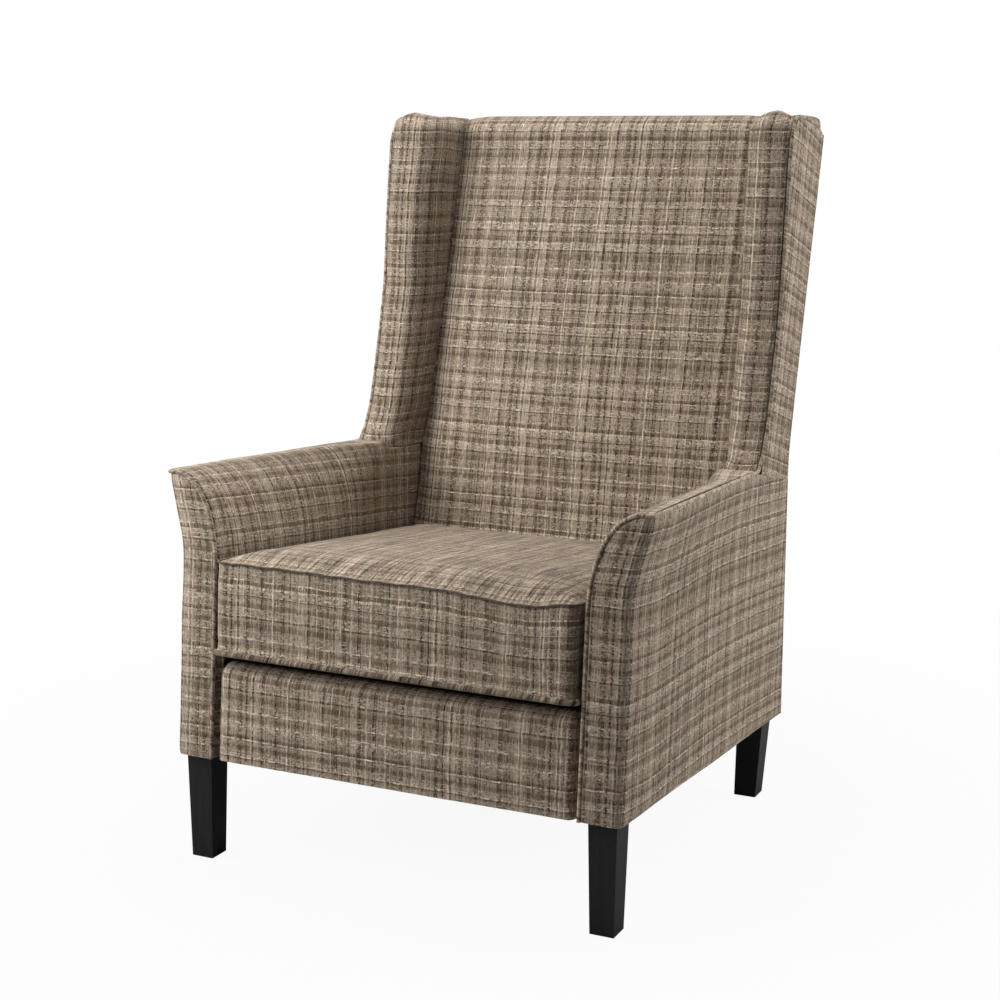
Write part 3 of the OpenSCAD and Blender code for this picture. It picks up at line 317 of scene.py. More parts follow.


# A dark platform cloth, darkened further to the black of the shadow in the gap under the cushion: partly
# painted shade.
lining = plain("lining", tone(34, 29, 25), tone(52, 45, 39), 900.0, stretch=(1, 0.25, 1))
deck_half = 0.3022
deck_front = 0.0443
front_round = 0.012
deck_x = np.linspace(-deck_half, deck_half, 50)[:, None]
deck_s = np.concatenate([deck_front + np.linspace(0, front_round, 8), np.linspace(0.06, 0.6376, 50)])[None]
front_roll = np.clip(1 - (deck_s - deck_front) / front_round, 0, 1)
hollow = np.sin(math.pi * (deck_x / (2 * deck_half) + 0.5))
hollow = hollow * np.sin(math.pi * (deck_s - deck_front) / (deck_s.max() - deck_front))
deck_t = -0.0004 - 0.009 * (1 - np.sqrt(1 - front_roll**2)) - 0.005 * hollow
deck_face = on_deck(deck_x, deck_s, deck_t)
deck_under = on_deck(deck_x, deck_s, -0.0137)
deck_cloth = np.stack(np.broadcast_arrays(deck_x, deck_s), -1)
deck_rings = backed(deck_face, deck_under)
deck_places = backed(deck_cloth, deck_cloth)
platform = loft("platform", deck_rings, deck_places, lining)
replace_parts(platform, "deck_cover", "deck_pad")

# Dust cover under the seat: thin black cloth, cut out round the legs and stapled to the undersides
# of the rails, so that it sags a little at its middle.
hem = 0.171


def fall(level, y):
    """The height at y of a level given at the front edge."""
    return level - slope * y


black_cloth = plain("black_cloth", tone(20, 20, 21), tone(38, 38, 40), 700.0, bump=0.4)
leg_x = 0.337
front_leg_y = 0.037
rear_leg_y = 0.676
cut = 0.0223
dust_half = 0.3677
dust_front = 0.0143
dust_length = 0.7064
dust_x = np.array([0.0, 0.05, 0.1, 0.15, 0.2, 0.25, 0.29, leg_x - cut, leg_x + cut, dust_half])
dust_x = np.concatenate([-dust_x[:0:-1], dust_x])
dust_y = np.concatenate([
    [dust_front, front_leg_y - cut, front_leg_y + cut],
    np.linspace(0.09, 0.63, 13),
    [rear_leg_y - cut, rear_leg_y + cut, dust_front + dust_length],
])
mid_x = (dust_x[1:] + dust_x[:-1]) / 2
mid_y = (dust_y[1:] + dust_y[:-1]) / 2
by_leg_x = np.abs(np.abs(mid_x) - leg_x) < cut
by_leg_y = (np.abs(mid_y - front_leg_y) < cut) | (np.abs(mid_y - rear_leg_y) < cut)
kept = ~(by_leg_x[:, None] & by_leg_y[None])
grid_x, grid_y = np.meshgrid(dust_x, dust_y, indexing="ij")
droop = 0.005 * (1 - (grid_x / dust_half) ** 2) * np.sin(math.pi * (grid_y - dust_front) / dust_length)
over_side = at(grid_x, grid_y, fall(hem + 0.0007, grid_y) - droop)
under_side = over_side - [0, 0, 0.0007]
number = np.arange(grid_x.size).reshape(grid_x.shape)
a, b, c, d = number[:-1, :-1], number[1:, :-1], number[1:, 1:], number[:-1, 1:]
fenced = np.pad(kept, 1)
sides = [
    (~fenced[:-2, 1:-1], a, d),
    (~fenced[2:, 1:-1], c, b),
    (~fenced[1:-1, :-2], b, a),
    (~fenced[1:-1, 2:], d, c),
]
quads = [np.stack([a, b, c, d], -1)[kept], np.stack([d, c, b, a], -1)[kept] + number.size]
for open_side, first, second in sides:
    wall = kept & open_side
    quads.append(np.stack([first, second, second + number.size, first + number.size], -1)[wall])
used, quads = np.unique(np.concatenate(quads), return_inverse=True)
quads = quads.reshape(-1, 4)
points = np.concatenate([over_side.reshape(-1, 3), under_side.reshape(-1, 3)])[used]
dust = add_piece("under_cloth", points, quads, points[quads][..., :2], black_cloth)
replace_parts(dust, "dust_cover")

# Plaid tweed, the wool cloth of every cover: uneven bands of taupe and rose with thin cream,
# brown and olive threads both ways. Each covered piece carries its own place in the cloth, in
# metres, as the UV map "cloth". The bands below are in millimetres from the start of a repeat.
def tweed(name, contrast, streak_shade, light):
    """The cloth as a material: contrast of its bands, strength of its streaks of painted shade, and overall
    light.
    """
    pale = tone(178, 162, 145, light)
    middle = tone(158, 142, 125, light)
    rose = tone(152, 133, 121, light)
    olive = tone(142, 131, 110, light)
    deep = tone(105, 90, 71, light)
    brown = tone(64, 50, 36, light)
    cream = tone(203, 187, 164, light)
    warp = [
        (0, middle), (6, cream), (8.6, middle), (12.5, cream), (15, pale), (23, brown), (25.4, deep),
        (28, middle), (37, cream), (40, olive), (45, deep), (50, middle), (57, brown), (59.4, middle),
        (65, cream), (68, deep), (71, cream), (73.6, pale), (84, deep), (90, middle),
        (97, cream), (99.6, rose), (109, brown), (111.6, deep), (115, rose), (121, middle),
        (129, cream), (132, middle), (145, deep), (152, olive), (159, brown), (161.4, middle),
    ]
    weft = [
        (0, middle), (8, brown), (10.6, cream), (13.4, pale), (22, deep), (29, rose), (37, cream),
        (39.6, brown), (42.4, deep), (45, middle), (53, pale), (62, cream), (65, middle), (68, deep),
        (74, rose), (80, cream), (83, middle), (98, deep), (107, olive), (112, brown),
        (114.8, cream), (117.4, pale), (129, deep), (137, middle), (145, brown), (147.6, pale),
        (159, cream), (162, deep), (169, cream), (171.6, middle),
    ]
    warp_repeat = 168
    weft_repeat = 181
    material, skin, nodes = new_material(name)
    place = nodes.make("ShaderNodeUVMap", {"uv_map": "cloth"})
    waver = 0.004
    drift = nodes.make("ShaderNodeTexNoise", inputs={"Vector": place, "Scale": 26.0, "Detail": 2.0})
    split = nodes.make("ShaderNodeSeparateXYZ", inputs={0: place})
    across = split + (drift - 0.5) * waver
    along = split.output(1) + (drift - 0.5) * waver

    def streaks(long_way, short_way, length, width):
        """Uneven thread thickness: noise drawn out along the thread."""
        spot = nodes.make("ShaderNodeCombineXYZ", inputs={0: long_way / length, 1: short_way / width})
        return nodes.make("ShaderNodeTexNoise", inputs={"Vector": spot, "Scale": 1.0, "Detail": 2.0})

    thread = 0.0021
    slub = 0.011
    shade_streak_length = 0.09
    shade_streak_width = 0.0045
    warp_slub = streaks(along, across, slub, thread)
    weft_slub = streaks(across, along, slub, thread)
    warp_thread = (across / thread).maths("FLOOR")
    weft_thread = (along / thread).maths("FLOOR")
    chance = "ShaderNodeTexWhiteNoise"
    warp_chance = nodes.make(chance, {"noise_dimensions": "1D"}, {"W": warp_thread})
    weft_chance = nodes.make(chance, {"noise_dimensions": "1D"}, {"W": weft_thread + 0.5})
    cell = nodes.make("ShaderNodeCombineXYZ", inputs={0: warp_thread, 1: weft_thread})
    pick = nodes.make(chance, {"noise_dimensions": "2D"}, {"Vector": cell})
    warp_stops = [(p / warp_repeat, c) for p, c in warp]
    weft_stops = [(p / weft_repeat, c) for p, c in weft]
    warp_colour = (across * (1000 / warp_repeat)).maths("FRACT").ramp(warp_stops, True)
    weft_colour = (along * (1000 / weft_repeat)).maths("FRACT").ramp(weft_stops, True)
    base = nodes.make("ShaderNodeRGB")
    base.socket.default_value = middle
    warp_colour = base.mixed(warp_colour, contrast)
    weft_colour = base.mixed(weft_colour, contrast)
    on_top = pick * 0.7 + (weft_slub - warp_slub) * 2.0 + 0.12
    on_top = on_top.maths("MINIMUM", 1).maths("MAXIMUM", 0)
    woven = warp_colour.mixed(weft_colour, on_top)
    warp_strength = warp_chance + warp_slub * 2.0 - 0.5
    weft_strength = weft_chance * 0.7 + weft_slub * 2.0 - 0.35
    strength = warp_strength + (weft_strength - warp_strength) * on_top + (pick - 0.5) * 0.6
    # Painted shade: long streaks along the threads, darker and lighter as the ridges of the nap would be
    # shaded at grazing light.
    if streak_shade:
        strength = strength + (streaks(along, across, shade_streak_length, shade_streak_width) - 0.5) * streak_shade
    grey = nodes.make("ShaderNodeCombineColor", inputs={0: strength, 1: strength, 2: strength})
    woven.mixed(grey, 1.0, "MULTIPLY").into(skin["Base Color"])
    height = warp_slub + weft_slub + pick * 0.6
    bump_inputs = {"Strength": 0.6, "Distance": 0.001, "Height": height}
    nodes.make("ShaderNodeBump", inputs=bump_inputs).into(skin["Normal"])
    skin["Roughness"].default_value = 0.95
    skin["Sheen Weight"].default_value = 0.15
    skin["Sheen Roughness"].default_value = 0.5
    skin["Sheen Tint"].default_value = (1.0, 0.86, 0.72, 1)
    skin["Specular IOR Level"].default_value = 0.15
    return material


plaid = tweed("plaid_tweed", 1.0, 0, 0.82)
# The seat's top and its low piping: the plaid with less contrast for wear, a little darker, and with streaks
# of painted shade from its nap.
worn_streak_shaded_plaid = tweed("plaid_tweed_worn_streak_shaded", 0.6, 3.6, 0.70)
# A copy of the plaid at a quarter of its light, for the cushion's thin top piping: painted shade, the shadow
# in the groove of that seam.
seam_shadow_plaid = tweed("plaid_tweed_painted_seam_shadow", 0.3, 0, 0.25)

# Front border: the panel under the cushion, foam on a beech rail under plaid, stapled under the
# rail. It stands a little behind the arm facings, its ends turn back and its top rolls over.
def run(points, axis):
    """Length along the rows or columns of a grid of points, from their first one."""
    steps = np.linalg.norm(np.diff(points, axis=axis), axis=-1)
    zero = np.zeros_like(np.take(steps, [0], axis=axis))
    return np.concatenate([zero, np.cumsum(steps, axis=axis)], axis=axis)


def smooth(t):
    """0 below 0, 1 above 1, and s s (3 - 2 s) between."""
    s = np.clip(t, 0, 1)
    return s * s * (3 - 2 * s)


def uneven(points, size):
    """Slight unevenness of stretched cloth, a sum of slow sines of the place, up to size."""
    x, y, z = points[..., 0], points[..., 1], points[..., 2]
    slow = np.sin(21 * x + 13 * z + 1) * np.sin(17 * y - 19 * z + 2)
    quick = np.sin(57 * x - 31 * y) * np.sin(43 * z + 37 * y)
    return size * (0.65 * slow + 0.35 * quick)


border_half = 0.2965
border_foot = 0.0035  # depth of its face at the hem
border_brow = 0.0147  # depth at which it starts to roll over
border_rear = 0.0437
border_lean = 0.0866  # how far it leans back for each metre of height
roll_from = 0.300  # level at which it starts to roll over
end_round = 0.012
arc = np.radians(np.linspace(0, 90, 12))
rise = np.linspace(hem, roll_from, 30)
profile_y = np.concatenate([
    border_foot + border_lean * (rise - hem),
    border_brow + 0.024 * (1 - np.cos(arc[1:])),
    [border_rear],
])[None]
profile_z = np.concatenate([rise - 0.0006, roll_from + 0.018 * np.sin(arc[1:]), [0.3185]])[None]
share = np.linspace(-1, 1, 90)[:, None]
share = np.sign(share) * (1 - (1 - np.abs(share)) ** 1.4)
side = share * border_half
end = np.clip((np.abs(side) - border_half + end_round) / end_round, 0, 1)
turn = 0.010 * (1 - np.sqrt(np.clip(1 - end**2, 0, 1)))
full = 0.0035 * (1 - np.abs(share) ** 8) * np.sin(math.pi * np.linspace(0.05, 0.95, 42))[None]
border_face = at(side, profile_y - full + turn, profile_z - 0.5 * turn * (profile_z > 0.305))
border_face[..., 1] -= uneven(border_face, 0.0009)
border_back = at(side, border_rear, profile_z - 0.002 * (profile_z > 0.31))
border_cloth = np.stack([run(border_face, 0)[:, 20:21] + 0 * full, run(border_face, 1)], -1)
border = loft("border", backed(border_face, border_back), backed(border_cloth, border_cloth), plaid)
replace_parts(border, "border_cover", "border_pad")

# Arms, left and right: beech posts and rails, foam and plaid. One cloth makes the facing and goes
# round the corner as the outside, another rolls over the top to the inside, and a sewn welt
# joins them. Levels are those at the front edge, and everything falls evenly towards the rear.
half = 0.370  # half the width of the body
inner = 0.303  # half the width between the arms
arm_end = 0.562  # depth at which the arm's top meets the wing
arm_top = 0.610
facing_lean = 0.038  # how far back the facing leans from the hem to the arm's top
body_rear = dust_front + dust_length
tuck_under = 0.012  # how far the arm's cloth drops to run on beneath the wing
frame_side = 0.3477  # outer face of the posts and rails


def flare(y):
    """How far the arm's tip stands out at y, falling evenly to nothing at the wing."""
    return 0.029 * (1 - np.clip((y - facing_lean) / (arm_end - facing_lean), 0, 1))


def outward(level):
    """Share of the flare at a level: a straight slope with a soft start, (t + sqrt(t t + k)) / 2."""
    flare_from = 0.503
    t = (level - flare_from) / (arm_top - flare_from)
    return (t + np.sqrt(t * t + 0.02)) / 2


def beneath_wing(y):
    """0 along the arm, and 1 where its cloth runs on beneath the wing's foot."""
    return smooth((y - arm_end + 0.003) / 0.004)


def roll(y, steps, in_by=0.0):
    """The arm's rolled inner edge at y: a quarter ellipse from its foot to the flat top."""
    fade_run = 0.17
    fade = 1 - 0.88 * smooth((y - arm_end + fade_run) / fade_run)
    under = beneath_wing(y)
    wide = (half + flare(y) - 0.018 - inner) * fade * (1 - under) + 0.004 * under
    high = 0.140 * fade * (1 - under) + 0.004 * under
    top = arm_top - tuck_under * under
    w = np.radians(np.linspace(0, 90, steps))
    return inner + wide - (wide - in_by) * np.cos(w), top - high + (high - in_by) * np.sin(w)


def cord(name, path, radius, material, sides=10, looped=False, body="root", shift=0.0):
    """Round cord: the path plus radius (cos w side + sin w up), square to its direction."""
    if looped:
        way = np.roll(path, -1, 0) - np.roll(path, 1, 0)
    else:
        way = np.gradient(path, axis=0)
    way = way / np.linalg.norm(way, axis=1, keepdims=True)
    aside = np.cross(way, [1.0, -1.0, 1.0])
    aside = (aside / np.linalg.norm(aside, axis=1, keepdims=True))[:, None]
    over = np.cross(way[:, None], aside)
    w = np.linspace(0, 2 * math.pi, sides + 1)[None]
    spoke = np.cos(w)[..., None] * aside + np.sin(w)[..., None] * over
    rings = path[:, None] + radius * spoke[:, :-1]
    closing = np.concatenate([path, path[:1]]) if looped else path
    length = run(closing, 0)[:, None]
    cloth = np.stack([length + 0.0012 * w, 0 * length + 0.001 * w], -1)
    return loft(name, rings, cloth + shift, material, looped, body=body)


def through(points, count):
    """A smooth curve through points, evenly spaced: a cubic between each two, as Catmull and Rom's."""
    p = np.asarray(points, float)
    ends = np.concatenate([[2 * p[0] - p[1]], p, [2 * p[-1] - p[-2]]])
    s = np.linspace(0, 1, 24, endpoint=False)[None, :, None]
    a, b, c, d = (ends[k : len(ends) - 3 + k, None] for k in range(4))
    square = (2 * a - 5 * b + 4 * c - d) * s**2
    cube = (3 * b - a - 3 * c + d) * s**3
    curve = 0.5 * (2 * b + (c - a) * s + square + cube)
    curve = np.concatenate([curve.reshape(-1, p.shape[1]), p[-1:]])
    length = run(curve, 0)
    even = np.linspace(0, length[-1], count)
    return np.stack([np.interp(even, length, curve[:, k]) for k in range(p.shape[1])], -1)


def facing_y(level):
    """How far behind the front edge the leaning facing stands at a level."""
    return facing_lean * (level - hem) / (arm_top - hem)


def arm_outside(sign, name):
    """Facing, corner of radius 14 mm and side in one piece of cloth, 2 mm thick. The facing's
    inner edge is upright and then a quarter ellipse, x = edge + wide (1 - sqrt(1 - t t))."""
    top = 0.6037
    bend_from = 0.470
    bend_high = 0.134
    bend_wide = 0.072
    corner = 0.014
    facing_steps = 16
    corner_steps = 9
    side_steps = 59
    level = np.linspace(hem, top, 56)[:, None]
    fy = facing_y(level)
    t = np.clip((level - bend_from) / bend_high, 0, 1)
    x0 = inner + 0.006 + bend_wide * (1 - np.sqrt(1 - t**2))
    x1 = half + flare(fy) * outward(level) - corner
    s = np.linspace(0, 1, facing_steps)[None] ** 1.3
    w = np.radians(np.linspace(0, 90, corner_steps + 1))[None, 1:]
    y = np.linspace(0, 1, side_steps + 1)[None, 1:] * (body_rear - corner - fy) + fy + corner
    drop = 0.024 * np.clip((y - 0.580) / 0.14, 0, 1) * smooth((level - hem) / (top - hem))
    x = np.concatenate([x0 + (x1 - x0) * s, x1 + corner * np.sin(w), half + flare(y) * outward(level)], 1)
    dent = 0.002 * np.exp(-(x1 - x0) * s / 0.003)
    deep = np.concatenate([fy + dent, fy + corner * (1 - np.cos(w)), y], 1)
    high = level - np.concatenate([0 * dent, 0 * w + 0 * level, drop], 1)
    side = np.concatenate([np.zeros(facing_steps), np.sin(w[0]), np.ones(side_steps)])
    ahead = np.concatenate([np.ones(facing_steps), np.cos(w[0]), np.zeros(side_steps)])
    tuck = 0.0016 * np.exp((hem - level) / 0.004)
    shelf = 0.0022 * np.exp((level - top) / 0.004) * (1 - smooth((deep - 0.565) / 0.015))
    face = at(x - (tuck + shelf) * side, deep + (tuck + shelf * 0.4) * ahead, fall(high, deep))
    bump = uneven(face, 0.0012)
    face[..., 0] += bump * side
    face[..., 1] -= bump * ahead * 0.5
    back = face - 0.002 * np.stack([side, -ahead, 0 * side], -1)
    corner_run = 0.022 * w / w.max() + 0 * level
    u = np.concatenate([(s - 1) * (x1 - x0), corner_run, y - fy + 0.008], 1)
    v = high + 0.004 * np.sin(9 * u + 1) * smooth((u - 0.02) / 0.1)
    cloth = np.stack([u + 0.043 + 0.025 * sign, v], -1)
    rings = backed(face, back) * [sign, 1, 1]
    piece = loft(name, rings, backed(cloth, cloth), plaid)
    return piece


def arm_inside(sign, name):
    """The roll over the arm's top and its inside down to the platform, with the pad behind. Each
    row is a section at its y: the flat top, the rolled quarter ellipse and the straight inside."""
    flat_steps = 8
    roll_steps = 22
    down_steps = 17
    start = deck_front
    y = start + np.concatenate([np.linspace(0, 0.02, 12), np.linspace(0.024, 0.63, 68)])
    y = y[y < 0.6751][:, None]
    under = beneath_wing(y)
    rx, rz = roll(y, roll_steps)
    tip = (half + flare(y) - 0.0063) * (1 - under) + frame_side * under
    low = deck_rise - 0.010 - y * math.tan(pitch) + slope * y
    flat = tip + (rx[:, -1:] - tip) * np.linspace(0, 1, flat_steps + 1)[:-1]
    down = rz[:, :1] + (low - rz[:, :1]) * np.linspace(0, 1, down_steps + 1)[1:]
    section_x = np.concatenate([flat, rx[:, ::-1], 0 * down + inner], 1)
    section_z = np.concatenate([0 * flat + arm_top - tuck_under * under, rz[:, ::-1], down], 1)
    ledge = 0.5863
    s = np.linspace(0, 1, section_x.shape[1])
    pad_top = np.minimum(tip, 0.366) - frame_side - 0.0003
    pad_x = frame_side + 0.0003 * np.clip(2 - s / 0.2, 0, 1) + pad_top * np.clip(1 - s / 0.2, 0, 1)
    pad_z = ledge - 0.01 * np.clip(s / 0.2 - 1, 0, 1) + (low - ledge + 0.01) * np.clip((s - 0.4) / 0.6, 0, 1)
    w = np.concatenate([np.zeros(flat_steps), np.linspace(0, 1, roll_steps), np.ones(down_steps)])
    w = w * math.pi / 2
    lean = np.clip(1 - (y - start) / 0.079, 0, 1) ** 1.2

    def placed(x, level, inset=0.0):
        """The section moved in by inset, leaning with the facing near the front."""
        level = level - inset * np.cos(w)
        deep = y + lean * (facing_y(level) - facing_lean)
        return at(x + inset * np.sin(w), deep, fall(level, deep))

    face = placed(section_x, section_z, 0.0028 * np.exp((start - y) / 0.0035))
    fullness = 0.0025 * np.sin(math.pi * np.clip((y - start - 0.01) / 0.5, 0, 1))
    fold = 0.0022 * np.exp(-(((y - 0.545) / 0.012) ** 2)) * np.sin(2 * w)
    face[..., 0] -= (fullness + uneven(face, 0.0012)) * np.sin(w)
    face[..., 2] += (fullness * 0.5 + uneven(face, 0.0009)) * np.cos(w)
    face[..., 2] -= fold
    back = 0.94 * placed(pad_x, pad_z) + 0.06 * face
    girth = run(face, 1)
    cloth = np.stack([y + 0 * girth + 0.021 * sign, 0.33 + girth[:, -1:] - girth], -1)
    rings = backed(face, back) * [sign, 1, 1]
    piece = loft(name, rings, backed(cloth, cloth), plaid)
    return piece


def arm_welt(sign, name):
    """The welt up the facing's inner edge, over the roll, and back along the arm's outer edge."""
    r = 0.0032
    rise = np.linspace(hem, 0.462, 26)
    rx, rz = roll(facing_lean, 14, r)
    x = np.concatenate([0 * rise + inner + r, rx, [0.3905]])
    level = np.concatenate([rise, rz, [arm_top - r]])
    y = facing_y(level) + r
    turn_y = 0.0455
    back = np.linspace(0.065, arm_end, 22)
    path = np.concatenate([
        np.stack([x, y - 0.0012, fall(level, y)], -1),
        [[half + flare(0.05) - r - 0.0005, turn_y, fall(arm_top - r, turn_y)]],
        np.stack([half + flare(back) - r, back, fall(arm_top - r, back)], -1),
    ])
    curve = through(path, 260) - [0, front, 0]
    return cord(name, curve * [sign, 1, 1], r, plaid, shift=0.149 * sign)


def arm_return(sign, name):
    """The facing's cloth turned in behind its welt, seen in the gap beside the border."""
    level = np.linspace(hem + 0.0005, 0.330, 20)[:, None]
    across = np.linspace(0.2972, 0.3095, 6)[None]
    deep = facing_y(level) + 0.0165 - 0.006 * smooth((across - 0.3025) / 0.004)
    face = at(across, deep, fall(level, 0.0165))
    cloth = np.stack(np.broadcast_arrays(across, level), -1)
    rings = backed(face, face + [0, 0.002, 0]) * [sign, 1, 1]
    piece = loft(name, rings, backed(cloth, cloth), plaid)
    return piece


for sign, word in [(1, "left"), (-1, "right")]:
    arm_return(sign, f"{word}_facing_return")
    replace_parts(arm_outside(sign, f"{word}_arm_outside"), f"{word}_outside_arm_cover")
    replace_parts(arm_inside(sign, f"{word}_arm_inside"), f"{word}_inside_arm_cover", f"{word}_arm_pad")
    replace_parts(arm_welt(sign, f"{word}_arm_piping"), f"{word}_arm_welt")

# Wings, left and right: beech boards on the back posts, with a foam pad that rounds the front
# edge and the top under plaid, a flat outside panel cut on the slant, and a sewn welt between.
wing_low = 0.5798  # height of the wing's foot
wing_foot = 0.575  # depth of its front edge there
back_top = 1.140
top_edge = 1.107  # height of the top edge of the outside back
seat_line = 0.411465  # height at which the seat meets the inside back
outside_foot = 0.723  # depth of the outside back below its bend
bend_from = 0.585  # height of the bend
slant = math.tan(math.radians(15.7))


def wing_front(z):
    """The wing's front edge: shares of its lean backwards at shares of its height, smoothed."""
    t = (z - wing_low) / (back_top - wing_low)
    heights = [0, 0.085, 0.185, 0.32, 0.47, 0.64, 0.81, 0.98, 1.1]
    leans = [0, 0.24, 0.38, 0.54, 0.71, 0.79, 0.88, 1, 1.03]
    taps = [np.interp(t + k * 0.02, heights, leans) for k in (-2, -1, 0, 1, 2)]
    return wing_foot + 0.125 * np.mean(taps, 0)


def rear_y(z):
    """The outside of the back: upright to the bend, and on the slant above it."""
    return outside_foot + np.maximum(0, z - bend_from) * slant


def inside_y(z):
    """The inside of the back, a straight lean from the seat up."""
    return 0.627 + (z - seat_line) * math.tan(math.radians(14.5))


def crease(z):
    """Half width of the inside back, where it meets the arms and the wings."""
    return 0.300 - 0.015 * (z - seat_line) / (back_top - seat_line)


def wing_inside(sign, name):
    """Level rings: from the frame forward to the welt, two quarter ellipses round the padded
    front edge, and back along the inside. Over the top the rings shrink by a quarter circle."""
    rows = 70
    over = np.radians(np.linspace(0, 90, 12))
    z = np.concatenate([np.linspace(0.5685, 1.104, rows), top_edge + 0.0303 * np.sin(over)])[:, None]
    e = np.concatenate([np.zeros(rows), 0.030 * (1 - np.cos(over))])[:, None]
    foot = 1 - smooth((z - wing_low) / 0.012)
    lead = wing_front(z) * (1 - foot) + 0.5628 * foot
    bulge = 0.014 * (1 - foot) * (1 - 0.35 * smooth((z - 1.0) / 0.13))
    near = crease(z) + 0.5 * e + 0.006 * (1 - smooth((z - wing_low) / 0.06))
    far = np.minimum(half - 0.45 * e, 0.3640)
    middle = (near + far) / 2
    reach = (far - near) / 2
    lip = lead - bulge + e
    web = inside_y(z) + 0.046
    rear = web + (rear_y(z) - 0.003 - e - web) * smooth((z - 1.0) / 0.05)
    w = np.radians(np.linspace(0, 90, 14))[None]
    outer_run = np.linspace(1, 0, 13)[None, :-1]
    inner_run = np.linspace(0, 1, 19)[None, 1:]
    back_run = np.linspace(0, 1, 6)[None, 1:-1]
    x = np.concatenate([
        far + 0 * outer_run,
        middle + reach * np.cos(w),
        (middle - reach * np.sin(w))[:, 1:],
        near + 0 * inner_run,
        near + (far - near) * back_run,
    ], 1)
    deep = 0.040 + bulge
    y = np.concatenate([
        lead + e + (rear - lead - e) * outer_run,
        lip + bulge * (1 - np.sin(w)),
        (lip + deep * (1 - np.cos(w)))[:, 1:],
        lip + deep + (rear - lip - deep) * inner_run,
        rear + 0 * back_run,
    ], 1)
    rings = at(x, y, z - slope * (y - wing_foot) * foot)
    welt_side = outer_run.size
    skin = np.zeros(rings.shape[1])
    skin[welt_side + 1 : 1 - back_run.size] = 1
    rings[..., 0] -= uneven(rings, 0.0014) * skin
    rings[..., 1] -= uneven(rings[..., [1, 2, 0]], 0.0012) * skin * (1 - foot)
    place = np.clip((x - near) / (far - near), 0, 1)
    crest = 0.0088 * np.sin(math.pi * place**1.4) * (1 - 0.75 * smooth((y - 0.75) / 0.12))
    rings[..., 2] += crest * smooth((z - 1.06) / 0.07)
    girth = run(rings, 1)
    girth = girth - girth[:, welt_side : welt_side + 1]
    girth[rows:] = girth[rows - 1]
    height = run(rings, 0)
    height = height - height[rows // 2 : rows // 2 + 1]
    cloth = np.stack([girth + 0.05 + 0.03 * sign, 0.85 + height], -1)
    piece = loft(name, rings * [sign, 1, 1], cloth, plaid, cap=rings[-1, :, :2])
    return piece


def wing_outside(sign, name):
    """The outside of the wing: from its welt to the back's edge, and down over the arm's end. It
    is a grid of f from front to rear and g from foot to top, on cloth turned by 16 degrees."""
    f = np.linspace(0, 1, 34)[None] ** 0.9
    g = np.linspace(0, 1, 80)[:, None]
    crown = 1.1345 - 0.0285 * f**2 - 0.020 * np.clip(1 - f / 0.2, 0, 1) ** 2
    foot_y = 0.5812 + 0.1395 * f
    foot = 0.6020 - slope * foot_y - 0.024 * np.clip((foot_y - 0.58) / 0.14, 0, 1)
    z = foot + (crown - foot) * g
    lead = wing_front(z) + 0.0062
    y = lead + (rear_y(z) - 0.0023 - lead) * f
    rim = np.clip(np.exp(-f / 0.03) + np.exp((g - 1) / 0.008), 0, 1)
    x = half + 0.0003 - 0.0011 * rim + 0.0012 * np.sin(math.pi * f) * np.sin(math.pi * g)
    face = at(x, y, z)
    face[..., 0] += uneven(face, 0.0009) * (1 - rim)
    back = face - [0.0015, 0, 0]
    tilt = math.radians(16)
    deep = y - wing_foot
    u = deep * math.cos(tilt) - z * math.sin(tilt)
    v = z * math.cos(tilt) + deep * math.sin(tilt)
    cloth = np.stack([u + 0.02 * sign, v], -1)
    piece = loft(name, backed(face, back) * [sign, 1, 1], backed(cloth, cloth), plaid)
    return piece


def wing_welt(sign, name):
    """The welt from the arm up the wing's front edge, over its top corner and along to the back."""
    r = 0.0031
    rise = np.linspace(0.600, 1.095, 26)
    foot = [[0.367, 0.5625, 0.5772], [0.3675, 0.571, 0.5795], [0.3675, 0.578, 0.5865]]
    edge = np.stack([0 * rise + half - r + 0.0006, wing_front(rise) + r - 0.001, rise], -1)
    corner = [[0.3665, 0.706, 1.118], [0.366, 0.718, 1.1315], [0.366, 0.745, 1.1365]]
    top = [[0.366, 0.800, 1.130], [0.366, 0.840, 1.119], [0.366, 0.864, 1.1085]]
    curve = through(np.concatenate([foot, edge, corner, top]), 260) - [0, front, 0]
    return cord(name, curve * [sign, 1, 1], r, plaid, shift=0.17 * sign)


for sign, word in [(1, "left"), (-1, "right")]:
    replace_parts(wing_inside(sign, f"{word}_wing"), f"{word}_inside_wing_cover", f"{word}_wing_pad")
    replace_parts(wing_outside(sign, f"{word}_wing_outside"), f"{word}_outside_wing_cover")
    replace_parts(wing_welt(sign, f"{word}_wing_piping"), f"{word}_wing_welt")

# Inside back: foam on webbing between beech posts under plaid, crowned forward, rounded towards
# the wings and rolled over the top rail to its rear.
brow_z = 1.095
roll_out = 0.045
u = np.linspace(-1, 1, 100)[None]
u = np.sign(u) * (1 - (1 - np.abs(u)) ** 1.35)
w = np.radians(np.linspace(0, 90, 14))[1:, None]
z = np.linspace(0.2694, brow_z, 84)[:, None]


def crown(u, z):
    """How far the back is crowned forward: 20 mm at the middle, less at its foot and top."""
    low = smooth((z - 0.4115) / 0.25)
    high = 1 - 0.5 * smooth((z - 0.89) / 0.25)
    return 0.020 * (1 - u**2) * low * high


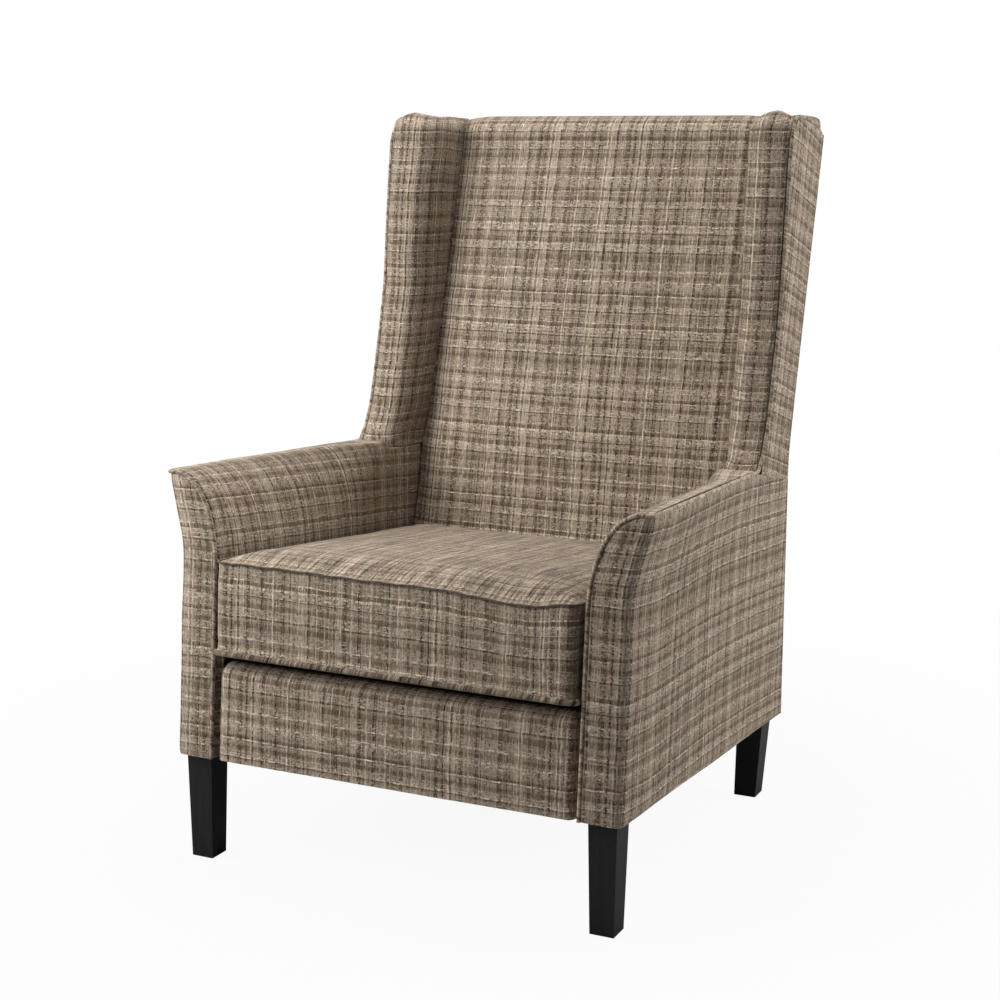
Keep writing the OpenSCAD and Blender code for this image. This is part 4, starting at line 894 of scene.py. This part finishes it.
brow = inside_y(brow_z) - crown(u, brow_z)
rear = 0.8664
back_y = np.concatenate([
    inside_y(z) - crown(u, z),
    brow + roll_out * (1 - np.cos(w)),
    brow + roll_out + (rear - brow - roll_out) * np.sin(w),
])
back_z = np.concatenate([z, brow_z + roll_out * np.sin(w), top_edge + 0.033 * np.cos(w)]) + 0 * u
edge = np.clip((np.abs(u) - 0.82) / 0.18, 0, 1)
back_y = back_y + 0.013 * edge**2 * (1 - smooth((back_y - brow) / 0.03))
back_z = back_z - 0.005 * edge**2 * smooth((back_z - 1.09) / 0.04)
foot_wide = 0.0042 * smooth((back_z - 0.50) / 0.05) * (1 - smooth((back_z - 0.565) / 0.04))
back_x = u * (crease(np.minimum(back_z, 1.10)) - 0.0003 + foot_wide)
back_face = at(back_x, back_y, back_z)
back_face[..., 1] -= uneven(back_face, 0.0016)
ledge = 1.1003
web = inside_y(np.minimum(back_z, ledge)) + 0.046
over = np.concatenate([0 * z, np.linspace(0, 1, 2 * len(w))[:, None]])
behind_y = web + (0.8627 - web) * over
behind_z = np.minimum(back_z, ledge) - 0.0004 * over
back_behind = 0.98 * at(back_x, behind_y, behind_z) + 0.02 * back_face
back_cloth = np.stack(np.broadcast_arrays(back_x, run(back_face, 0)[:, 50:51]), -1)
across_first = (1, 0, 2)
back_rings = backed(back_face.transpose(across_first), back_behind.transpose(across_first))
back_places = backed(back_cloth.transpose(across_first), back_cloth.transpose(across_first))
inside_back = loft("inside_back", back_rings, back_places, plaid)
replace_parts(inside_back, "inside_back_cover", "inside_back_pad")

# Outside back: one flat panel of plaid from the top edge to the hem, tacked to the rear of the
# posts and rails. Its bend, a straight slant with a soft start, is (t + sqrt(t t + k)) / 2.
panel_hem = 0.133
x = np.linspace(-half, half, 60)[None]
z = np.concatenate([np.linspace(panel_hem, 0.57, 40), np.linspace(0.58, top_edge, 48)])[:, None]
edge = np.exp((np.abs(x) - half) / 0.006) + np.exp((z - top_edge) / 0.006) + np.exp((panel_hem - z) / 0.006)
edge = np.clip(edge, 0, 1)
t = z - bend_from
bend = (t + np.sqrt(t**2 + 0.0004)) / 2 * slant
y = outside_foot + bend - 0.001 * edge + 0.0016 * np.cos(x * math.pi / (2 * half))
panel_face = at(x, y, z)
panel_face[..., 1] += uneven(panel_face, 0.001) * (1 - edge)
panel_back = panel_face - [0, 0.0016, 0]
panel_cloth = np.stack(np.broadcast_arrays(x, run(panel_face, 0)), -1)
outside_back = loft("outside_back", backed(panel_face, panel_back), backed(panel_cloth, panel_cloth), plaid)
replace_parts(outside_back, "outside_back_cover")

# Loose seat cushion: a firm filling in a cover of top cloth, bottom cloth and a boxing between
# them, with piping sewn into both seams. It rests loose on the platform between the arms, and is
# laid out in the platform's own s and t.
rear_lean = math.tan(math.radians(8.5))  # lean of its back face along the inside back
cushion_back = 0.584393  # length of its foot along the platform
cushion_half = 0.297
low_seam_t = 0.010
top_seam_t = 0.148
seam_inset = 0.002
flat_half = 0.294  # half the width of its top and bottom
flat_front = 0.006


def cushion_outline(a, b, t, inset):
    """A square of shares a and b from -1 to 1 as the cushion's outline at height t. The corners
    are rounded: x' = x sqrt(1 - y y / 2) in each corner's own square, and the sides draw in."""
    wide = cushion_half - inset + 0.0035 * (1 - smooth((b + 1) / 0.3))
    low = inset - 0.0008 - 0.035 * t
    high = cushion_back + t * rear_lean - inset
    radius = np.where(b < 0, 0.015, 0.018)
    x = np.abs(a) * wide
    s = low + (b + 1) / 2 * (high - low)
    to_end = np.where(b < 0, s - low, high - s)
    qx = np.clip((x - wide + radius) / radius, 0, 1)
    qs = np.clip(1 - to_end / radius, 0, 1)
    round_x = np.minimum(x, wide - radius) + radius * qx * np.sqrt(1 - qs**2 / 2)
    bow = radius * qs * np.sqrt(1 - qx**2 / 2)
    round_s = np.where(b < 0, low + radius - bow, high - radius + bow)
    s = np.where(qs > 0, round_s, s)
    x = np.where(x > 0, round_x, x)
    x = x - 0.003 * np.abs(a) ** 6 * np.cos(b * math.pi / 2)
    return np.sign(a) * x, s


n = 49
count = n * n
spacing = np.linspace(-1, 1, n)
spacing = np.sign(spacing) * (1 - (1 - np.abs(spacing)) ** 1.25)
a, b = np.meshgrid(spacing, spacing)
x, s = cushion_outline(a, b, top_seam_t, seam_inset)
to_end = np.minimum(s - flat_front, 0.603 - s)
to_edge = np.maximum(0, np.minimum(flat_half - np.abs(x), to_end))
dome = 0.016 * (1 - np.exp(-to_edge / 0.05)) + 0.003 * (1 - np.exp(-to_edge / 0.006))
dip_x = 0.218
dip_width = np.where(x < dip_x, 0.10, 0.055)
sag = 0.0105 * np.exp(-(((x - dip_x) / dip_width) ** 2)) + 0.002 * np.exp(-(((x + 0.03) / 0.09) ** 2))
sag = (sag + 0.0006 * np.sin(110 * x)) * (1 - smooth((s + 0.004) / 0.14))
top_t = top_seam_t + dome - sag
under_x, under_s = cushion_outline(a, b, low_seam_t, seam_inset)
under_end = np.minimum(under_s - flat_front, 0.58 - under_s)
belly = np.maximum(0, np.minimum(flat_half - np.abs(under_x), under_end))
bottom_t = low_seam_t - 0.0095 * (1 - np.exp(-belly / 0.012))
order = np.arange(count).reshape(n, n)
rim = np.concatenate([order[0, :-1], order[:-1, -1], order[-1, :0:-1], order[:0:-1, 0]])
loop = len(rim)
levels = 12
share = (np.arange(1, levels) / levels)[:, None]
wall_t = low_seam_t + (top_t.ravel()[rim] - low_seam_t) * share
wall_inset = seam_inset - 0.003 * np.minimum(1, 6 * share * (1 - share)) ** 0.6
wall_x, wall_s = cushion_outline(a.ravel()[rim], b.ravel()[rim], wall_t, wall_inset)
points = np.concatenate([
    on_deck(x, s, top_t).reshape(-1, 3),
    on_deck(under_x, under_s, bottom_t).reshape(-1, 3),
    on_deck(wall_x, wall_s, wall_t).reshape(-1, 3),
])
tiles = order[:-1, :-1].ravel()[:, None] + np.array([0, 1, n + 1, n])
wall_rows = 2 * count + np.arange((levels - 1) * loop).reshape(-1, loop)
rows = np.concatenate([[count + rim], wall_rows, [rim]])
ahead = np.roll(rows, -1, 1)
boxing = np.stack([rows[:-1], ahead[:-1], ahead[1:], rows[1:]], -1).reshape(-1, 4)
quads = np.concatenate([tiles, tiles[:, ::-1] + count, boxing])
edge_run = run(np.concatenate([points[rim], points[rim[:1]]]), 0)
box_u = np.stack([edge_run[:-1], edge_run[1:], edge_run[1:], edge_run[:-1]], -1)[None]
box_v = np.linspace(0, top_seam_t - low_seam_t, levels + 1)
box_v = np.stack([box_v[:-1], box_v[:-1], box_v[1:], box_v[1:]], -1)[:, None]
box_places = np.stack(np.broadcast_arrays(box_u, box_v), -1).reshape(-1, 4, 2)
top_places = np.stack([x, s], -1).reshape(-1, 2)[tiles]
bottom_places = np.stack([under_x, under_s], -1).reshape(-1, 2)[tiles[:, ::-1]]
places = np.concatenate([top_places, bottom_places, box_places + [0.03, 0.055]])
cushion = add_piece("seat_cushion", points, quads, places, plaid, "seat_cushion")
cushion.data.materials.append(worn_streak_shaded_plaid)
cloth_number = np.zeros(len(quads), np.int32)
cloth_number[: len(tiles)] = 1
cushion.data.polygons.foreach_set("material_index", cloth_number)
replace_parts(cushion, "cushion_core", "cushion_cover")


def points_of(mesh):
    """A mesh's points as an array of rows x, y, z."""
    flat = np.empty(len(mesh.vertices) * 3, np.float32)
    mesh.vertices.foreach_get("co", flat)
    return flat.reshape(-1, 3)


def swell(piece, most):
    """How a cushion's points move when the Cloth modifier swells it, none of them more than most."""
    frames = 20
    cloth = piece.modifiers.new("swell", "CLOTH")
    cloth.settings.use_pressure = True
    cloth.settings.uniform_pressure_force = 4
    cloth.settings.effector_weights.gravity = 0
    cloth.point_cache.frame_start = 1
    cloth.point_cache.frame_end = frames
    for number in range(1, frames + 1):
        bpy.context.scene.frame_set(number)
    shaped = piece.evaluated_get(bpy.context.evaluated_depsgraph_get()).data
    move = points_of(shaped) - points_of(piece.data)
    length = np.linalg.norm(move, axis=1, keepdims=True)
    move *= np.minimum(1, most / np.maximum(length, 1e-9))
    piece.modifiers.remove(cloth)
    bpy.context.scene.frame_set(1)
    return move


move = swell(cushion, 0.006)
give = np.ones(len(move))
give[rim] = 0.3
give[count + rim] = 0.3
give[count : 2 * count] = 0.0
settled = points_of(cushion.data) + move * give[:, None]
cushion.data.vertices.foreach_set("co", settled.astype(np.float32).ravel())
cushion.data.update()
finer = cushion.modifiers.new("finer", "SUBSURF")
finer.levels = 1
finer.render_levels = 1

now = points_of(cushion.data)
# The top piping is in the darkened copy of the plaid: painted shadow of the seam's groove.
top_piping = cord("top_piping", now[rim], 0.0017, seam_shadow_plaid, 8, True, "seat_cushion")
low_piping = cord("low_piping", now[count + rim], 0.0045, worn_streak_shaded_plaid, 10, True, "seat_cushion", 0.2)
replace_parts(top_piping, "cushion_piping")
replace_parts(low_piping, "cushion_piping")
